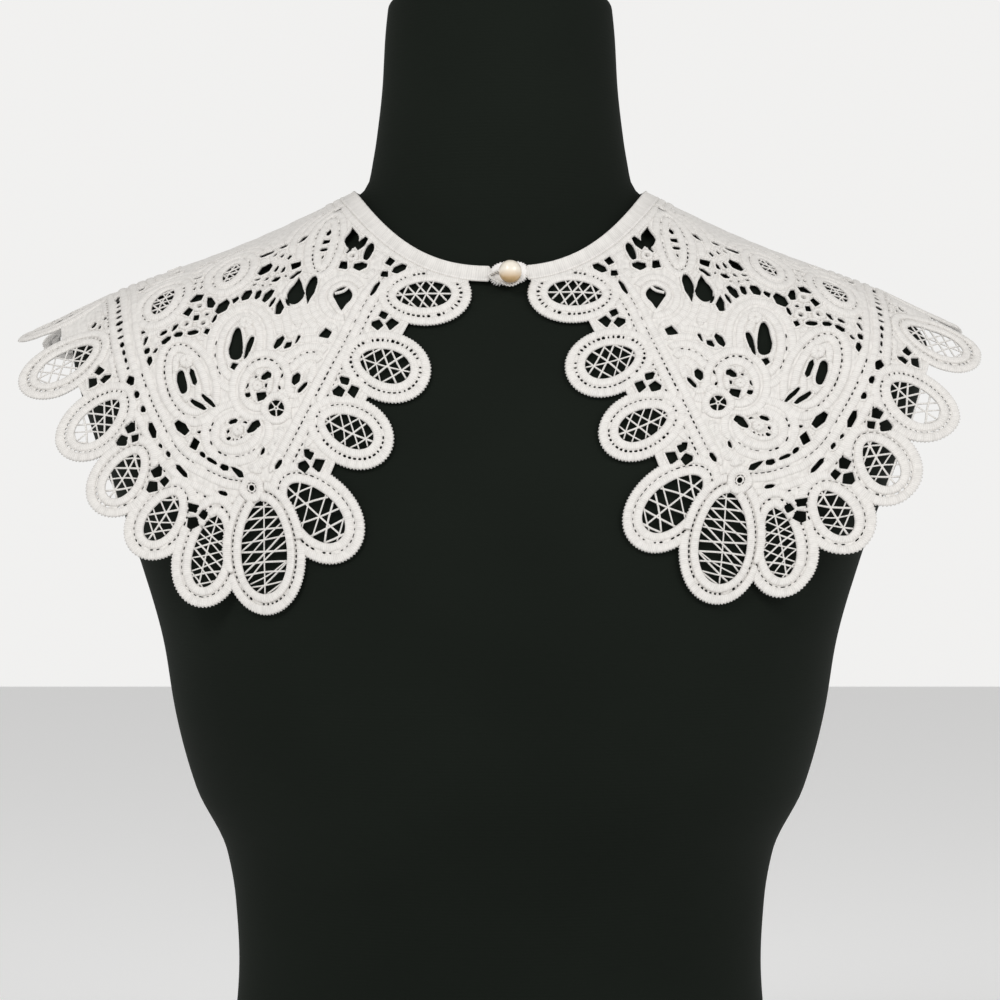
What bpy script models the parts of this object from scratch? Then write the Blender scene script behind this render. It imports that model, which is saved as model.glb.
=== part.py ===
"""Lace cape collar resting on a limbless dress form.

Lengths in the tables are millimetres and angles are degrees; MM turns them into
the metres of the scene.  +Z is up, the chest faces -Y and the form stands on Z = 0.

The collar is drawn flat first, as a paper pattern: "across" runs sideways from the
centre front line, "down" runs from the middle of the neck towards the hem, and the
pattern's neck edge is an arc of radius NECK_ARC.  Each half is an annular sector of
HALF_SWEEP.  The flat pattern is then laid over the form without changing lengths.
"""

import math
from collections import namedtuple

import bmesh
import bpy
import numpy as np
from mathutils import Vector
from mathutils.geometry import delaunay_2d_cdt

MM = 0.001
SEAM_GAP = 0.3

# ---------------------------------------------------------------- dress form
Section = namedtuple("Section", "height half_width front back roundness")
TORSO = [
    Section(0, 145, 100, 110, 2.3),
    Section(60, 134, 95, 100, 2.3),
    Section(110, 121.5, 88, 88, 2.2),
    Section(140, 119.5, 87, 82, 2.2),
    Section(168, 121, 90, 82, 2.2),
    Section(191, 125, 98, 84, 2.2),
    Section(220, 138.7, 110, 90, 2.3),
    Section(256, 148, 122, 95, 2.4),
    Section(286, 153, 124, 98, 2.4),
    Section(320, 163, 116, 100, 2.4),
    Section(345, 172, 107, 100, 2.4),
    Section(364, 180, 101, 99, 2.45),
    Section(394, 190, 90, 93, 2.5),
    Section(408, 194, 84, 90, 2.4),
    Section(420, 196, 77.5, 88, 2.3),
    Section(430, 190, 72, 86, 2.2),
    Section(440, 177, 66.5, 83, 2.1),
    Section(450, 151, 60, 80, 2.0),
    Section(460, 122, 51.5, 75, 2.0),
    Section(470, 98, 43.5, 69, 2.0),
    Section(480, 79, 36, 61, 2.0),
    Section(492, 59, 27, 52, 2.0),
    Section(500, 46, 20, 42, 2.0),
    Section(512, 32, 14, 30, 2.0),
    Section(530, 6, 3, 6, 2.0),
]
NECK = [
    Section(0, 40, 35, 40, 2.0),
    Section(300, 40, 35, 40, 2.0),
    Section(380, 50, 45, 50, 2.0),
    Section(420, 55, 51, 56, 2.0),
    Section(450, 59, 54, 60, 2.0),
    Section(480, 60.5, 54, 59, 2.0),
    Section(497, 59.5, 53.5, 58, 2.0),
    Section(515, 56.8, 53.5, 57, 2.0),
    Section(540, 54, 53, 54, 2.0),
    Section(562, 52.8, 52.5, 53, 2.0),
    Section(580, 51, 52, 52, 2.0),
]
JOIN_SHARPNESS = 14          # how tightly neck and shoulders blend
FORM_TOP = 580
TOP_EDGE_RADIUS = 5
TOP_EDGE_ROWS = 3
FORM_SEGMENTS = 36
SIDE_SPREAD = 1.5            # crowds the form's columns towards its sides
RowRun = namedtuple("RowRun", "start end step")
FORM_ROWS = [RowRun(0, 384, 24), RowRun(384, 512, 8), RowRun(512, 575, 21)]

# ---------------------------------------------------------------- collar on the form
CLEARANCE = 1.3              # inner face of the lace to the form
LACE_WALL = 1.5
NECKLINE_HALF_WIDTH = 64.5
NECKLINE_FRONT = 61.5
NECKLINE_BACK = 62
NECKLINE_HEIGHT_FRONT = 453.5
NECKLINE_HEIGHT_SIDE = 491.5
NECKLINE_HEIGHT_BACK = 503
NECKLINE_RISE_FRONT = 2.8
NECKLINE_RISE_BACK = 1.5
SlopeLimit = namedtuple("SlopeLimit", "azimuth slope")
SLOPE_LIMITS = [             # stiff lace stands off the form past these slopes
    SlopeLimit(0, 84),
    SlopeLimit(40, 84),
    SlopeLimit(50, 78),
    SlopeLimit(58, 71),
    SlopeLimit(65, 64),
    SlopeLimit(71, 57),
    SlopeLimit(76, 50),
    SlopeLimit(80, 40),
    SlopeLimit(84.5, 29),
    SlopeLimit(91, 25),
    SlopeLimit(100, 25),
    SlopeLimit(112, 38),
    SlopeLimit(130, 66),
    SlopeLimit(145, 80),
    SlopeLimit(180, 84),
]
Sag = namedtuple("Sag", "azimuth share")
SAGS = [                     # how far the lace sinks into the hollow beside the neck
    Sag(0, 0),
    Sag(66, 0),
    Sag(84, 0.75),
    Sag(130, 0.75),
    Sag(150, 0),
    Sag(180, 0),
]
Hang = namedtuple("Hang", "angle swing lift")
RIGHT_HANG = [               # the right half hangs a little askew: degrees at full reach, and share
    Hang(0, -2.0, 0.045),
    Hang(20, -1.7, 0.045),
    Hang(30, -0.7, 0.036),
    Hang(35, 0.0, 0.014),
    Hang(41, 1.6, 0.018),
    Hang(49, 4.2, 0.012),
    Hang(57, 4.8, 0.036),
    Hang(65, 5.2, 0.045),
    Hang(75, 5.0, 0.04),
    Hang(134, 0.0, 0.0),
]
NECK_ARC = 89                # radius of the pattern's neck edge
HALF_SWEEP = 134
COLLAR_REACH = 212           # longest distance out from the neck edge that is worked out
OUT_STEP = 2
AZIMUTH_STEPS = 180

# ---------------------------------------------------------------- lace pattern
BAND_INNER = 1.6             # the neck edge proper, out from the pattern's arc
BAND_WIDTH = 9               # outer edge of the neck band
RING_MARGIN = 9              # web opening to the scalloped edge: two bands and a ladder
EGG = 0.16                   # how much fuller a medallion is at its outer end
WEB_BAR = 1.4
Medallion = namedtuple("Medallion", "across down length width turn parts")
# turn is the direction of the outer end, anticlockwise from "across", seen with "down" drawn up
FRONT_MEDALLIONS = [
    Medallion(34.2, 106.2, 25.6, 13.0, 190, 2),
    Medallion(50.1, 143.0, 23.0, 15.5, 168, 2),
    Medallion(65.0, 174.6, 22.5, 13.6, 161, 2),
    Medallion(80.4, 211.3, 32.0, 18.5, 140, 4),
    Medallion(105.1, 228.6, 40.0, 23.2, 91, 4),
    Medallion(131.8, 231.8, 33.0, 14.0, 78, 4),
    Medallion(153.6, 217.2, 23.0, 12.0, 58, 2),
    Medallion(171.9, 197.2, 23.0, 12.4, 58, 2),
    Medallion(185.8, 169.2, 26.0, 14.0, 44, 2),
    Medallion(204.4, 135.0, 28.6, 15.0, 27, 2),
]
SHOULDER_MEDALLION_AT = 66.9     # angle of the first medallion of the plain back run
BACK_MEDALLIONS = 7
BACK_OUT = 147                   # distance out from the neck edge to their middles
BACK_LENGTH = 30
BACK_WIDTH = 16

# three gaps fill the corner behind two neighbouring medallions
CornerGap = namedtuple("CornerGap", "inward along size corners turn")
CORNER_GAPS = [
    CornerGap(6.2, 0.5, 6.0, 5, 180),
    CornerGap(12.0, 4.0, 5.6, 4, 40),
    CornerGap(12.2, -1.6, 5.0, 3, 0),
]
CLOSED_PAIRS = (3, 4, 9)     # neighbours that overlap and leave no gap behind them

OVAL, DROP, TRIANGLE, SLOT = "oval", "drop", "triangle", "slot"
Gap = namedtuple("Gap", "across down length width turn form")
FIELD_GAPS = [
    # corner between the neck band and the front tape
    Gap(51.8, 90.6, 5.5, 5.0, 60, TRIANGLE),
    Gap(46.6, 93.6, 8.5, 4.6, 32, OVAL),
    Gap(53.8, 97.6, 5.0, 4.4, 90, OVAL),
    Gap(57.5, 105.6, 8.8, 2.6, 65, SLOT),
    # net beside the neck band
    Gap(74.0, 77.0, 12.0, 7.0, 100, TRIANGLE),
    Gap(68.1, 80.6, 9.0, 4.6, 65, OVAL),
    Gap(63.6, 85.2, 10.0, 4.4, 78, OVAL),
    Gap(66.4, 93.4, 7.0, 4.4, 10, OVAL),
    Gap(75.4, 92.8, 6.0, 5.0, 95, TRIANGLE),
    # leaf with a pointed top
    Gap(86.8, 72.8, 5.0, 3.6, 95, DROP),
    Gap(87.1, 78.8, 5.0, 3.8, 0, SLOT),
    # heart and spade beside the front tape
    Gap(72.7, 111.6, 11.5, 8.3, 92, DROP),
    Gap(78.9, 130.4, 4.6, 4.2, 20, TRIANGLE),
    Gap(88.9, 108.6, 15.0, 3.4, 88, SLOT),
    Gap(95.7, 109.2, 14.0, 7.0, 272, DROP),
    # net over the flower
    Gap(99.3, 93.2, 6.3, 5.2, 20, OVAL),
    Gap(97.9, 99.0, 7.0, 2.8, 52, SLOT),
    Gap(107.0, 95.0, 5.0, 3.0, 80, SLOT),
    Gap(113.4, 94.3, 8.2, 4.8, 62, OVAL),
    Gap(115.0, 83.0, 6.4, 3.0, 25, SLOT),
    Gap(102.4, 117.2, 8.0, 3.8, 275, DROP),
    Gap(108.9, 111.3, 7.6, 4.2, 68, OVAL),
    Gap(114.0, 110.4, 6.0, 3.0, 85, SLOT),
    Gap(119.0, 110.2, 7.0, 4.8, 68, OVAL),
    Gap(124.2, 113.2, 5.2, 3.8, 55, OVAL),
    Gap(129.4, 116.8, 8.6, 5.6, 62, OVAL),
    Gap(135.6, 113.6, 7.6, 4.6, 300, DROP),
    Gap(142.5, 110.0, 6.8, 5.4, 35, OVAL),
    Gap(145.6, 118.2, 6.0, 4.4, 65, OVAL),
    Gap(141.4, 130.0, 5.4, 2.9, 0, SLOT),
    Gap(148.2, 130.4, 4.6, 3.2, 0, OVAL),
    Gap(153.8, 132.8, 5.4, 3.4, 45, OVAL),
    Gap(161.6, 142.4, 5.2, 3.2, 95, DROP),
    Gap(164.4, 131.6, 5.2, 2.4, 100, SLOT),
    # oval medallions on the shoulder
    Gap(130.0, 90.2, 6.4, 5.4, 70, OVAL),
    Gap(130.4, 97.6, 6.4, 5.4, 80, OVAL),
    Gap(159.4, 104.6, 7.0, 7.6, 60, OVAL),
    Gap(159.6, 113.4, 7.0, 7.6, 75, OVAL),
    # petals and scrolls of the flower
    Gap(120.4, 136.8, 15.0, 7.4, 275, DROP),
    Gap(113.4, 137.1, 9.0, 3.2, 70, SLOT),
    Gap(120.2, 147.6, 5.0, 4.6, 90, DROP),
    Gap(100.2, 136.1, 7.2, 4.2, 60, DROP),
    Gap(104.3, 152.5, 5.0, 4.2, 35, TRIANGLE),
    Gap(106.4, 162.0, 6.8, 4.8, 15, OVAL),
    Gap(90.4, 153.0, 6.0, 3.8, 70, OVAL),
    Gap(98.9, 167.1, 7.6, 7.6, 0, OVAL),
    Gap(139.3, 152.3, 8.6, 2.8, 110, SLOT),
    Gap(144.9, 154.6, 11.0, 4.8, 105, OVAL),
    Gap(131.6, 164.3, 9.0, 2.2, 138, SLOT),
    Gap(109.8, 176.2, 7.4, 4.2, 35, TRIANGLE),
    Gap(145.1, 175.6, 7.4, 5.2, 140, OVAL),
    Gap(138.4, 183.8, 5.2, 4.6, 120, TRIANGLE),
    # chain along the inner side of the shoulder tape
    Gap(118.4, 196.0, 7.4, 4.2, 160, DROP),
    Gap(124.4, 194.0, 4.4, 3.6, 165, OVAL),
    Gap(130.6, 191.6, 5.6, 2.4, 155, SLOT),
    # eyelet at the corner of the collar
    Gap(111.1, 202.9, 4.4, 4.4, 0, OVAL),
    # chain along the middle of the shoulder tape
    Gap(145.0, 195.7, 8.4, 2.4, 132, SLOT),
    Gap(159.2, 176.2, 8.8, 3.4, 108, SLOT),
    Gap(170.7, 151.2, 7.4, 5.2, 112, OVAL),
    Gap(176.0, 133.6, 4.4, 3.6, 100, OVAL),
]
# chain of round gaps on the shoulder, and the plain flower of the back
BACK_FIELD = [
    Gap(0.0, 30.0, 10.0, 7.0, 90, DROP),
    Gap(10.0, 32.0, 9.0, 5.0, 60, OVAL),
    Gap(-10.0, 32.0, 9.0, 5.0, 120, OVAL),
    Gap(0.0, 62.0, 14.0, 7.4, 90, DROP),
    Gap(13.0, 66.0, 11.0, 6.0, 45, OVAL),
    Gap(-13.0, 66.0, 11.0, 6.0, 135, OVAL),
    Gap(0.0, 92.0, 12.0, 7.0, 270, DROP),
    Gap(17.0, 92.0, 9.0, 5.0, 120, OVAL),
    Gap(-17.0, 92.0, 9.0, 5.0, 60, OVAL),
]
BACK_FIELD_ANGLES = (82, 116)

GROUND_MARGIN_ANGLE = 3      # the ground is drawn past the centre back and cut there
EDGE_POINTS = 24             # points round a medallion's outer edge
NECK_EDGE_STEP = 4           # degrees between points of the neck edge
MIN_EDGE = 0.8
MAX_EDGE = 10
SUPPORT_PITCH = 13
SUPPORT_DISTANCE = 5.5
FLAT_EPSILON = 1e-5

# ---------------------------------------------------------------- closure
BAND_LEFT_END = 4.4          # across, on the side with the loop
BAND_RIGHT_END = 12.3        # across, on the side with the tab
BAND_STEP = 4                # degrees between the band's columns
BAND_END_INSETS = (2.2, 1.2, 0.5)
TAB_CENTRE_ACROSS = 4.0
TAB_CENTRE_OUT = 5.2
TAB_LENGTH = 16
TAB_HEIGHT = 11.6
TAB_SQUARENESS = 0.75
PEARL_DIAMETER = 10.4
PEARL_ACROSS = 4.4
PEARL_OUT = 8.6
PEARL_SEGMENTS = 16
PEARL_RINGS = 10
LOOP_CORD = 1.4
LOOP_RADIUS = 4.4
LOOP_TIP_ACROSS = -5
LOOP_TIP_OUT = 6.2
LOOP_PULL = 0.9
LOOP_SEGMENTS = 16
LOOP_SIDES = 6

FABRIC_BLACK = (0.006, 0.007, 0.007, 1.0)
COTTON_WHITE = (0.80, 0.79, 0.77, 1.0)
PEARL_CREAM = (0.78, 0.72, 0.64, 1.0)


# ---------------------------------------------------------------- smooth tables
def tangents(heights, values):
    """Slopes of a smooth curve through the values that never overshoots them."""
    steps = np.diff(heights)
    rises = np.diff(values) / steps
    slopes = np.empty(len(values))
    slopes[0], slopes[-1] = rises[0], rises[-1]
    for i in range(1, len(values) - 1):
        before, after = rises[i - 1], rises[i]
        if before * after <= 0:
            slopes[i] = 0
            continue
        weight_a = 2 * steps[i] + steps[i - 1]
        weight_b = steps[i] + 2 * steps[i - 1]
        slopes[i] = (weight_a + weight_b) / (weight_a / before + weight_b / after)
    return slopes


class SmoothTable:
    """A table of sections, read at any height."""

    def __init__(self, sections):
        self.heights = np.array([s.height for s in sections], float)
        self.columns = {}
        for name in Section._fields[1:]:
            values = np.array([getattr(s, name) for s in sections], float)
            self.columns[name] = (values, tangents(self.heights, values))

    def read(self, name, height):
        values, slopes = self.columns[name]
        height = np.clip(height, self.heights[0], self.heights[-1])
        i = np.clip(np.searchsorted(self.heights, height) - 1, 0, len(values) - 2)
        step = self.heights[i + 1] - self.heights[i]
        t = (height - self.heights[i]) / step
        return ((2 * t**3 - 3 * t**2 + 1) * values[i]
                + (t**3 - 2 * t**2 + t) * step * slopes[i]
                + (3 * t**2 - 2 * t**3) * values[i + 1]
                + (t**3 - t**2) * step * slopes[i + 1])


def section_radius(table, height, azimuth):
    """Distance from the axis to one table's section; azimuth 0 is the front."""
    side, ahead = abs(math.sin(azimuth)), math.cos(azimuth)
    depth = table.read("front" if ahead > 0 else "back", height)
    width = table.read("half_width", height)
    power = table.read("roundness", height)
    return ((side / width)**power + (abs(ahead) / depth)**power)**(-1 / power)


TORSO_TABLE = SmoothTable(TORSO)
NECK_TABLE = SmoothTable(NECK)


def form_radius(height, azimuth):
    """Distance from the form's axis to its surface."""
    torso = section_radius(TORSO_TABLE, height, azimuth)
    neck = section_radius(NECK_TABLE, height, azimuth)
    return (torso**JOIN_SHARPNESS + neck**JOIN_SHARPNESS)**(1 / JOIN_SHARPNESS)


# ---------------------------------------------------------------- collar surface
def neckline(azimuth):
    """Radius and height of the collar's neck edge."""
    side, ahead = abs(math.sin(azimuth)), math.cos(azimuth)
    depth = NECKLINE_FRONT if ahead > 0 else NECKLINE_BACK
    radius = 1 / math.hypot(side / NECKLINE_HALF_WIDTH, ahead / depth)
    if ahead > 0:
        drop = NECKLINE_HEIGHT_SIDE - NECKLINE_HEIGHT_FRONT
        return radius, NECKLINE_HEIGHT_SIDE - drop * (1 - side**NECKLINE_RISE_FRONT)
    rise = NECKLINE_HEIGHT_BACK - NECKLINE_HEIGHT_SIDE
    return radius, NECKLINE_HEIGHT_SIDE + rise * (1 - side**NECKLINE_RISE_BACK)


def taut_line(start, points):
    """The outer hull of the points seen from start: a string pulled over them."""
    hull = [start]
    for point in points:
        while len(hull) >= 2:
            run = (hull[-1][0] - hull[-2][0], hull[-1][1] - hull[-2][1])
            turn = run[0] * (point[1] - hull[-2][1]) - run[1] * (point[0] - hull[-2][0])
            if turn < 0:
                break
            hull.pop()
        hull.append(point)
    return np.array(hull)


def even_steps(line, step, reach):
    """A line's points at even steps along its length."""
    lengths = np.concatenate([[0], np.cumsum(np.hypot(*np.diff(line, axis=0).T))])
    out = np.arange(0, reach + step, step)
    return np.stack([np.interp(out, lengths, line[:, 0]), np.interp(out, lengths, line[:, 1])], axis=-1)


def by_azimuth(azimuth, table, name):
    """A table's value at an azimuth given in radians."""
    return np.interp(math.degrees(azimuth), [row.azimuth for row in table],
                     [getattr(row, name) for row in table])


def collar_profile(azimuth):
    """Radii and heights of the collar going out from the neck edge in one vertical plane."""
    fine = 0.5
    heights = np.arange(NECK_TABLE.heights[-3] + 10, 120, -fine)
    radii = form_radius(heights, azimuth)
    outward = np.stack([-np.gradient(heights), np.gradient(radii)])
    outward /= np.hypot(*outward)
    skin = np.stack([radii, heights]) + CLEARANCE * outward
    radius, height = neckline(azimuth)
    beyond = [tuple(p) for p in skin.T if p[0] > radius + 0.3 and p[1] < height + 5]
    line = even_steps(taut_line((radius, height), beyond), fine, COLLAR_REACH)
    shoulder = np.array(beyond[:1 + int(np.argmax([p[0] for p in beyond]))])
    drop_to_skin = np.maximum(line[:, 1] - np.interp(line[:, 0], *shoulder.T), 0)
    drop_to_skin[line[:, 0] > shoulder[-1, 0]] = 0
    line[:, 1] -= by_azimuth(azimuth, SAGS, "share") * drop_to_skin
    line = even_steps(line, fine, COLLAR_REACH)
    slope = np.arctan2(-np.diff(line[:, 1]), np.diff(line[:, 0]))
    soften = 13
    half = soften // 2
    padded = np.concatenate([[slope[0]] * half, slope, [slope[-1]] * half])
    slope = np.convolve(padded, np.ones(soften) / soften, "valid")
    limit = by_azimuth(azimuth, SLOPE_LIMITS, "slope")
    slope = np.minimum(slope, math.radians(limit))
    every = int(OUT_STEP / fine)
    radii = radius + np.concatenate([[0], np.cumsum(np.cos(slope)) * fine])
    heights = height - np.concatenate([[0], np.cumsum(np.sin(slope)) * fine])
    return radii[::every], heights[::every]


class CollarSurface:
    """The worn collar as a grid of azimuths by distances out from the neck edge."""

    def __init__(self):
        self.azimuths = np.linspace(0, math.pi, AZIMUTH_STEPS + 1)
        columns = []
        for azimuth in self.azimuths:
            radii, heights = collar_profile(azimuth)
            columns.append(np.stack([radii * math.sin(azimuth), -radii * math.cos(azimuth), heights],
                                    axis=-1))
        self.grid = np.array(columns)
        steps = np.linalg.norm(np.diff(self.grid, axis=0), axis=2)
        lengths = np.concatenate([np.zeros((1, steps.shape[1])), np.cumsum(steps, axis=0)])
        self.share = lengths / lengths[-1]

    def point(self, across, down):
        """World place, in millimetres, of a point of the flat pattern."""
        angle = math.degrees(math.atan2(abs(across), down))
        out = math.hypot(across, down) - NECK_ARC
        if across > 0 and out > 0:
            angles = [row.angle for row in RIGHT_HANG]
            swing = np.interp(angle, angles, [row.swing for row in RIGHT_HANG])
            out *= 1 - np.interp(angle, angles, [row.lift for row in RIGHT_HANG])
            angle = max(0, angle + swing * out / COLLAR_REACH)
        row = int(min(max(math.floor(out / OUT_STEP), 0), self.grid.shape[1] - 2))
        between = out / OUT_STEP - row
        share = self.share[:, row] * (1 - between) + self.share[:, row + 1] * between
        place = np.interp(angle / HALF_SWEEP, share, np.arange(len(self.azimuths)))
        column = int(min(math.floor(place), len(self.azimuths) - 2))
        beside = place - column
        near = self.grid[column, row] * (1 - beside) + self.grid[column + 1, row] * beside
        far = self.grid[column, row + 1] * (1 - beside) + self.grid[column + 1, row + 1] * beside
        x, y, z = near * (1 - between) + far * between
        return Vector((math.copysign(x, across), y, z))

    def frame(self, across, down):
        """Place, and the unit vectors across, down and outward, at a point of the pattern."""
        reach = 0.5
        place = self.point(across, down)
        right = (self.point(across + reach, down) - self.point(across - reach, down)).normalized()
        below = (self.point(across, down + reach) - self.point(across, down - reach)).normalized()
        outward = right.cross(-below).normalized()
        return place, right, below, outward


# ---------------------------------------------------------------- flat outlines
def on_arc(angle, out):
    """Flat place of a point given by its angle and its distance out from the neck edge."""
    radius = NECK_ARC + out
    return radius * math.sin(math.radians(angle)), radius * math.cos(math.radians(angle))


def turned(points, turn, across, down):
    """Points drawn along +x, turned and moved to their place."""
    c, s = math.cos(math.radians(turn)), math.sin(math.radians(turn))
    return [(across + x * c - y * s, down + x * s + y * c) for x, y in points]


def egg(length, width, fullness, count):
    """An oval that is fuller towards its +x end."""
    return [egg_point(length, width, fullness, 2 * math.pi * i / count) for i in range(count)]


def drop(length, width, count):
    """A drop with its point at +x."""
    points = [(length / 2, 0.0)]
    round_end = length / 2 - width / 2
    for i in range(count - 1):
        t = math.radians(60) + math.radians(240) * i / (count - 2)
        points.append((-round_end + width / 2 * math.cos(t), width / 2 * math.sin(t)))
    return points


def slot(length, width):
    """A narrow gap with pointed ends."""
    x, y, c = length / 2, width / 2, width * 0.5
    return [(x, 0.0), (x - c, y), (-x + c, y), (-x, 0.0), (-x + c, -y), (x - c, -y)]


def blunt_triangle(length, width):
    """A triangle with its point at +x and its corners taken off."""
    x, y, c = length / 2, width / 2, 0.16
    return [(x, -y * c), (x, y * c), (-x + length * c, y), (-x, y * (1 - c)), (-x, -y * (1 - c)),
            (-x + length * c, -y)]


def gap_outline(gap):
    """Outline of one gap of the field."""
    if gap.form == OVAL:
        points = egg(gap.length, gap.width, 0, 9 if gap.length > 7 else 7)
    elif gap.form == DROP:
        points = drop(gap.length, gap.width, 8 if gap.length > 9 else 6)
    elif gap.form == SLOT:
        points = slot(gap.length, gap.width)
    else:
        points = blunt_triangle(gap.length, gap.width)
    return turned(points, gap.turn, gap.across, gap.down)


def egg_point(length, width, fullness, t):
    """Point of an oval that is fuller towards its +x end, at the parameter t."""
    return length / 2 * math.cos(t), width / 2 * math.sin(t) * (1 + fullness * math.cos(t))


def medallions():
    """Every medallion of one half, from the centre front to the centre back."""
    row = list(FRONT_MEDALLIONS)
    pitch = (HALF_SWEEP - SHOULDER_MEDALLION_AT) / (BACK_MEDALLIONS - 0.5)
    for i in range(BACK_MEDALLIONS):
        angle = SHOULDER_MEDALLION_AT + i * pitch
        across, down = on_arc(angle, BACK_OUT)
        row.append(Medallion(across, down, BACK_LENGTH, BACK_WIDTH, 90 - angle, 2))
    return row


def medallion_outline(medallion):
    """Scalloped outer edge of a medallion."""
    points = egg(medallion.length + 2 * RING_MARGIN, medallion.width + 2 * RING_MARGIN, EGG / 2,
                 EDGE_POINTS)
    return turned(points, medallion.turn, medallion.across, medallion.down)


def web_openings(medallion):
    """A medallion's opening, parted by a bar along it and, in four parts, by one across."""
    half_bar = WEB_BAR / 2
    start = math.asin(1.8 * half_bar / (medallion.width / 2))
    if medallion.parts == 4:
        parts = [(end, side) for end in (1, -1) for side in (1, -1)]
        stop = math.acos(half_bar / (medallion.length / 2))
        count = 4
    else:
        parts = [(1, 1), (1, -1)]
        stop = math.pi - start
        count = 7
    openings = []
    for end, side in parts:
        rim = []
        for i in range(count):
            t = start + (stop - start) * i / (count - 1)
            x, y = egg_point(medallion.length, medallion.width, EGG * end, t)
            rim.append((x * end, y * side))
        foot = [(rim[-1][0], half_bar * side), (rim[0][0], half_bar * side)]
        openings.append(turned(rim + foot, medallion.turn, medallion.across, medallion.down))
    return openings


def corner_openings(row):
    """Gaps in the corners behind neighbouring medallions."""
    openings = []
    for i, (first, second) in enumerate(zip(row, row[1:])):
        if i in CLOSED_PAIRS:
            continue
        run = Vector((second.across - first.across, second.down - first.down)).normalized()
        inward = Vector((run.y, -run.x))
        middle = Vector((first.across + second.across, first.down + second.down)) / 2
        wanted = CORNER_GAPS if i < len(FRONT_MEDALLIONS) else CORNER_GAPS[:1]
        for gap in wanted:
            centre = middle + inward * gap.inward + run * gap.along
            points = egg(gap.size, gap.size, 0, gap.corners)
            turn = math.degrees(math.atan2(inward.y, inward.x)) + gap.turn
            openings.append(turned(points, turn, centre.x, centre.y))
    return openings


def back_openings():
    """Gaps of the plain motif that fills the back."""
    openings = []
    for angle in BACK_FIELD_ANGLES:
        for gap in BACK_FIELD:
            outline = gap_outline(gap._replace(down=gap.down + NECK_ARC))
            openings.append(turned(outline, -angle, 0, 0))
    return openings


def neck_cut():
    """Everything inside the lower edge of the neck band."""
    out = BAND_WIDTH + SEAM_GAP
    angles = np.arange(-12, HALF_SWEEP + 12, NECK_EDGE_STEP)
    return [(0.0, 0.0)] + [on_arc(angle, out) for angle in angles]


def back_cut():
    """Everything past the centre back seam."""
    sweep = math.radians(HALF_SWEEP)
    along = Vector((math.sin(sweep), math.cos(sweep)))
    past = Vector((math.cos(sweep), -math.sin(sweep)))
    start = -past * SEAM_GAP / 2
    far = 2 * COLLAR_REACH
    return [tuple(start - along), tuple(start + along * far), tuple(start + along * far + past * far),
            tuple(start + past * far)]


# ---------------------------------------------------------------- cutting the cloth
def signed_area(outline):
    return sum(a[0] * b[1] - b[0] * a[1] for a, b in zip(outline, outline[1:] + outline[:1])) / 2


def anticlockwise(outline):
    return outline if signed_area(outline) > 0 else outline[::-1]


def overlay(outlines, loose):
    """Triangulates overlapping outlines; each triangle knows the outlines that hold it."""
    points = []
    faces = []
    for outline in outlines:
        outline = anticlockwise(outline)
        faces.append(list(range(len(points), len(points) + len(outline))))
        points.extend(Vector(p) for p in outline)
    points.extend(Vector(p) for p in loose)
    verts, _, triangles, _, _, holders = delaunay_2d_cdt(points, [], faces, 0, FLAT_EPSILON)
    return verts, triangles, holders


def kept(triangles, holders, cloth_count):
    """Triangles inside some cloth outline and outside every cut."""
    return [t for t, held in zip(triangles, holders) if held and max(held) < cloth_count]


def edge_loops(verts, triangles):
    """Closed loops round a set of triangles, without points that nearly coincide."""
    edges = {(a, b) for t in triangles for a, b in zip(t, t[1:] + t[:1])}
    following = {}
    for a, b in edges:
        if (b, a) not in edges:
            if a in following:
                raise ValueError("gaps touch at %s" % verts[a])
            following[a] = b
    loops = []
    while following:
        start, point = following.popitem()
        loop = [start]
        while point != start:
            loop.append(point)
            point = following.pop(point)
        outline = [tuple(verts[i]) for i in loop]
        slim = []
        for place in outline:
            if not slim or math.dist(place, slim[-1]) > MIN_EDGE:
                slim.append(place)
        if math.dist(slim[0], slim[-1]) <= MIN_EDGE:
            slim.pop()
        if len(slim) > 2:
            loops.append(slim)
    return loops


def inside(point, outline):
    """Whether a flat point lies inside an outline."""
    x, y = point
    crossings = 0
    for (ax, ay), (bx, by) in zip(outline, outline[1:] + outline[:1]):
        if (ay > y) != (by > y) and x < ax + (y - ay) * (bx - ax) / (by - ay):
            crossings += 1
    return crossings % 2 == 1


def with_short_edges(outline):
    """The outline with points added along its long straight runs."""
    points = []
    for start, end in zip(outline, outline[1:] + outline[:1]):
        parts = math.ceil(math.dist(start, end) / MAX_EDGE)
        for i in range(parts):
            points.append(tuple(Vector(start).lerp(Vector(end), i / parts)))
    return points


def support_points(loops):
    """Points inside the wide stretches of cloth, which let it bend with the form."""
    rim = np.array([p for loop in loops for p in loop])
    outer = max(loops, key=signed_area)
    holes = [loop for loop in loops if loop is not outer]
    points = []
    low, high = rim.min(axis=0), rim.max(axis=0)
    for row, down in enumerate(np.arange(low[1], high[1], SUPPORT_PITCH * 0.87)):
        for across in np.arange(low[0] + (row % 2) * SUPPORT_PITCH / 2, high[0], SUPPORT_PITCH):
            place = (float(across), float(down))
            if np.hypot(*(rim - place).T).min() < SUPPORT_DISTANCE or not inside(place, outer):
                continue
            if not any(inside(place, hole) for hole in holes):
                points.append(place)
    return points


def cut_cloth(cloth, cuts):
    """Flat points and triangles of the joined cloth outlines less the cuts."""
    verts, triangles, holders = overlay(cloth + cuts, [])
    loops = edge_loops(verts, kept(triangles, holders, len(cloth)))
    loops = [with_short_edges(loop) for loop in loops]
    outer = max(loops, key=signed_area)
    holes = [loop for loop in loops if loop is not outer]
    verts, triangles, holders = overlay([outer] + holes, support_points(loops))
    return [tuple(v) for v in verts], kept(triangles, holders, 1)


# ---------------------------------------------------------------- objects
def clear_scene():
    for thing in list(bpy.data.objects):
        bpy.data.objects.remove(thing, do_unlink=True)


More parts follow.
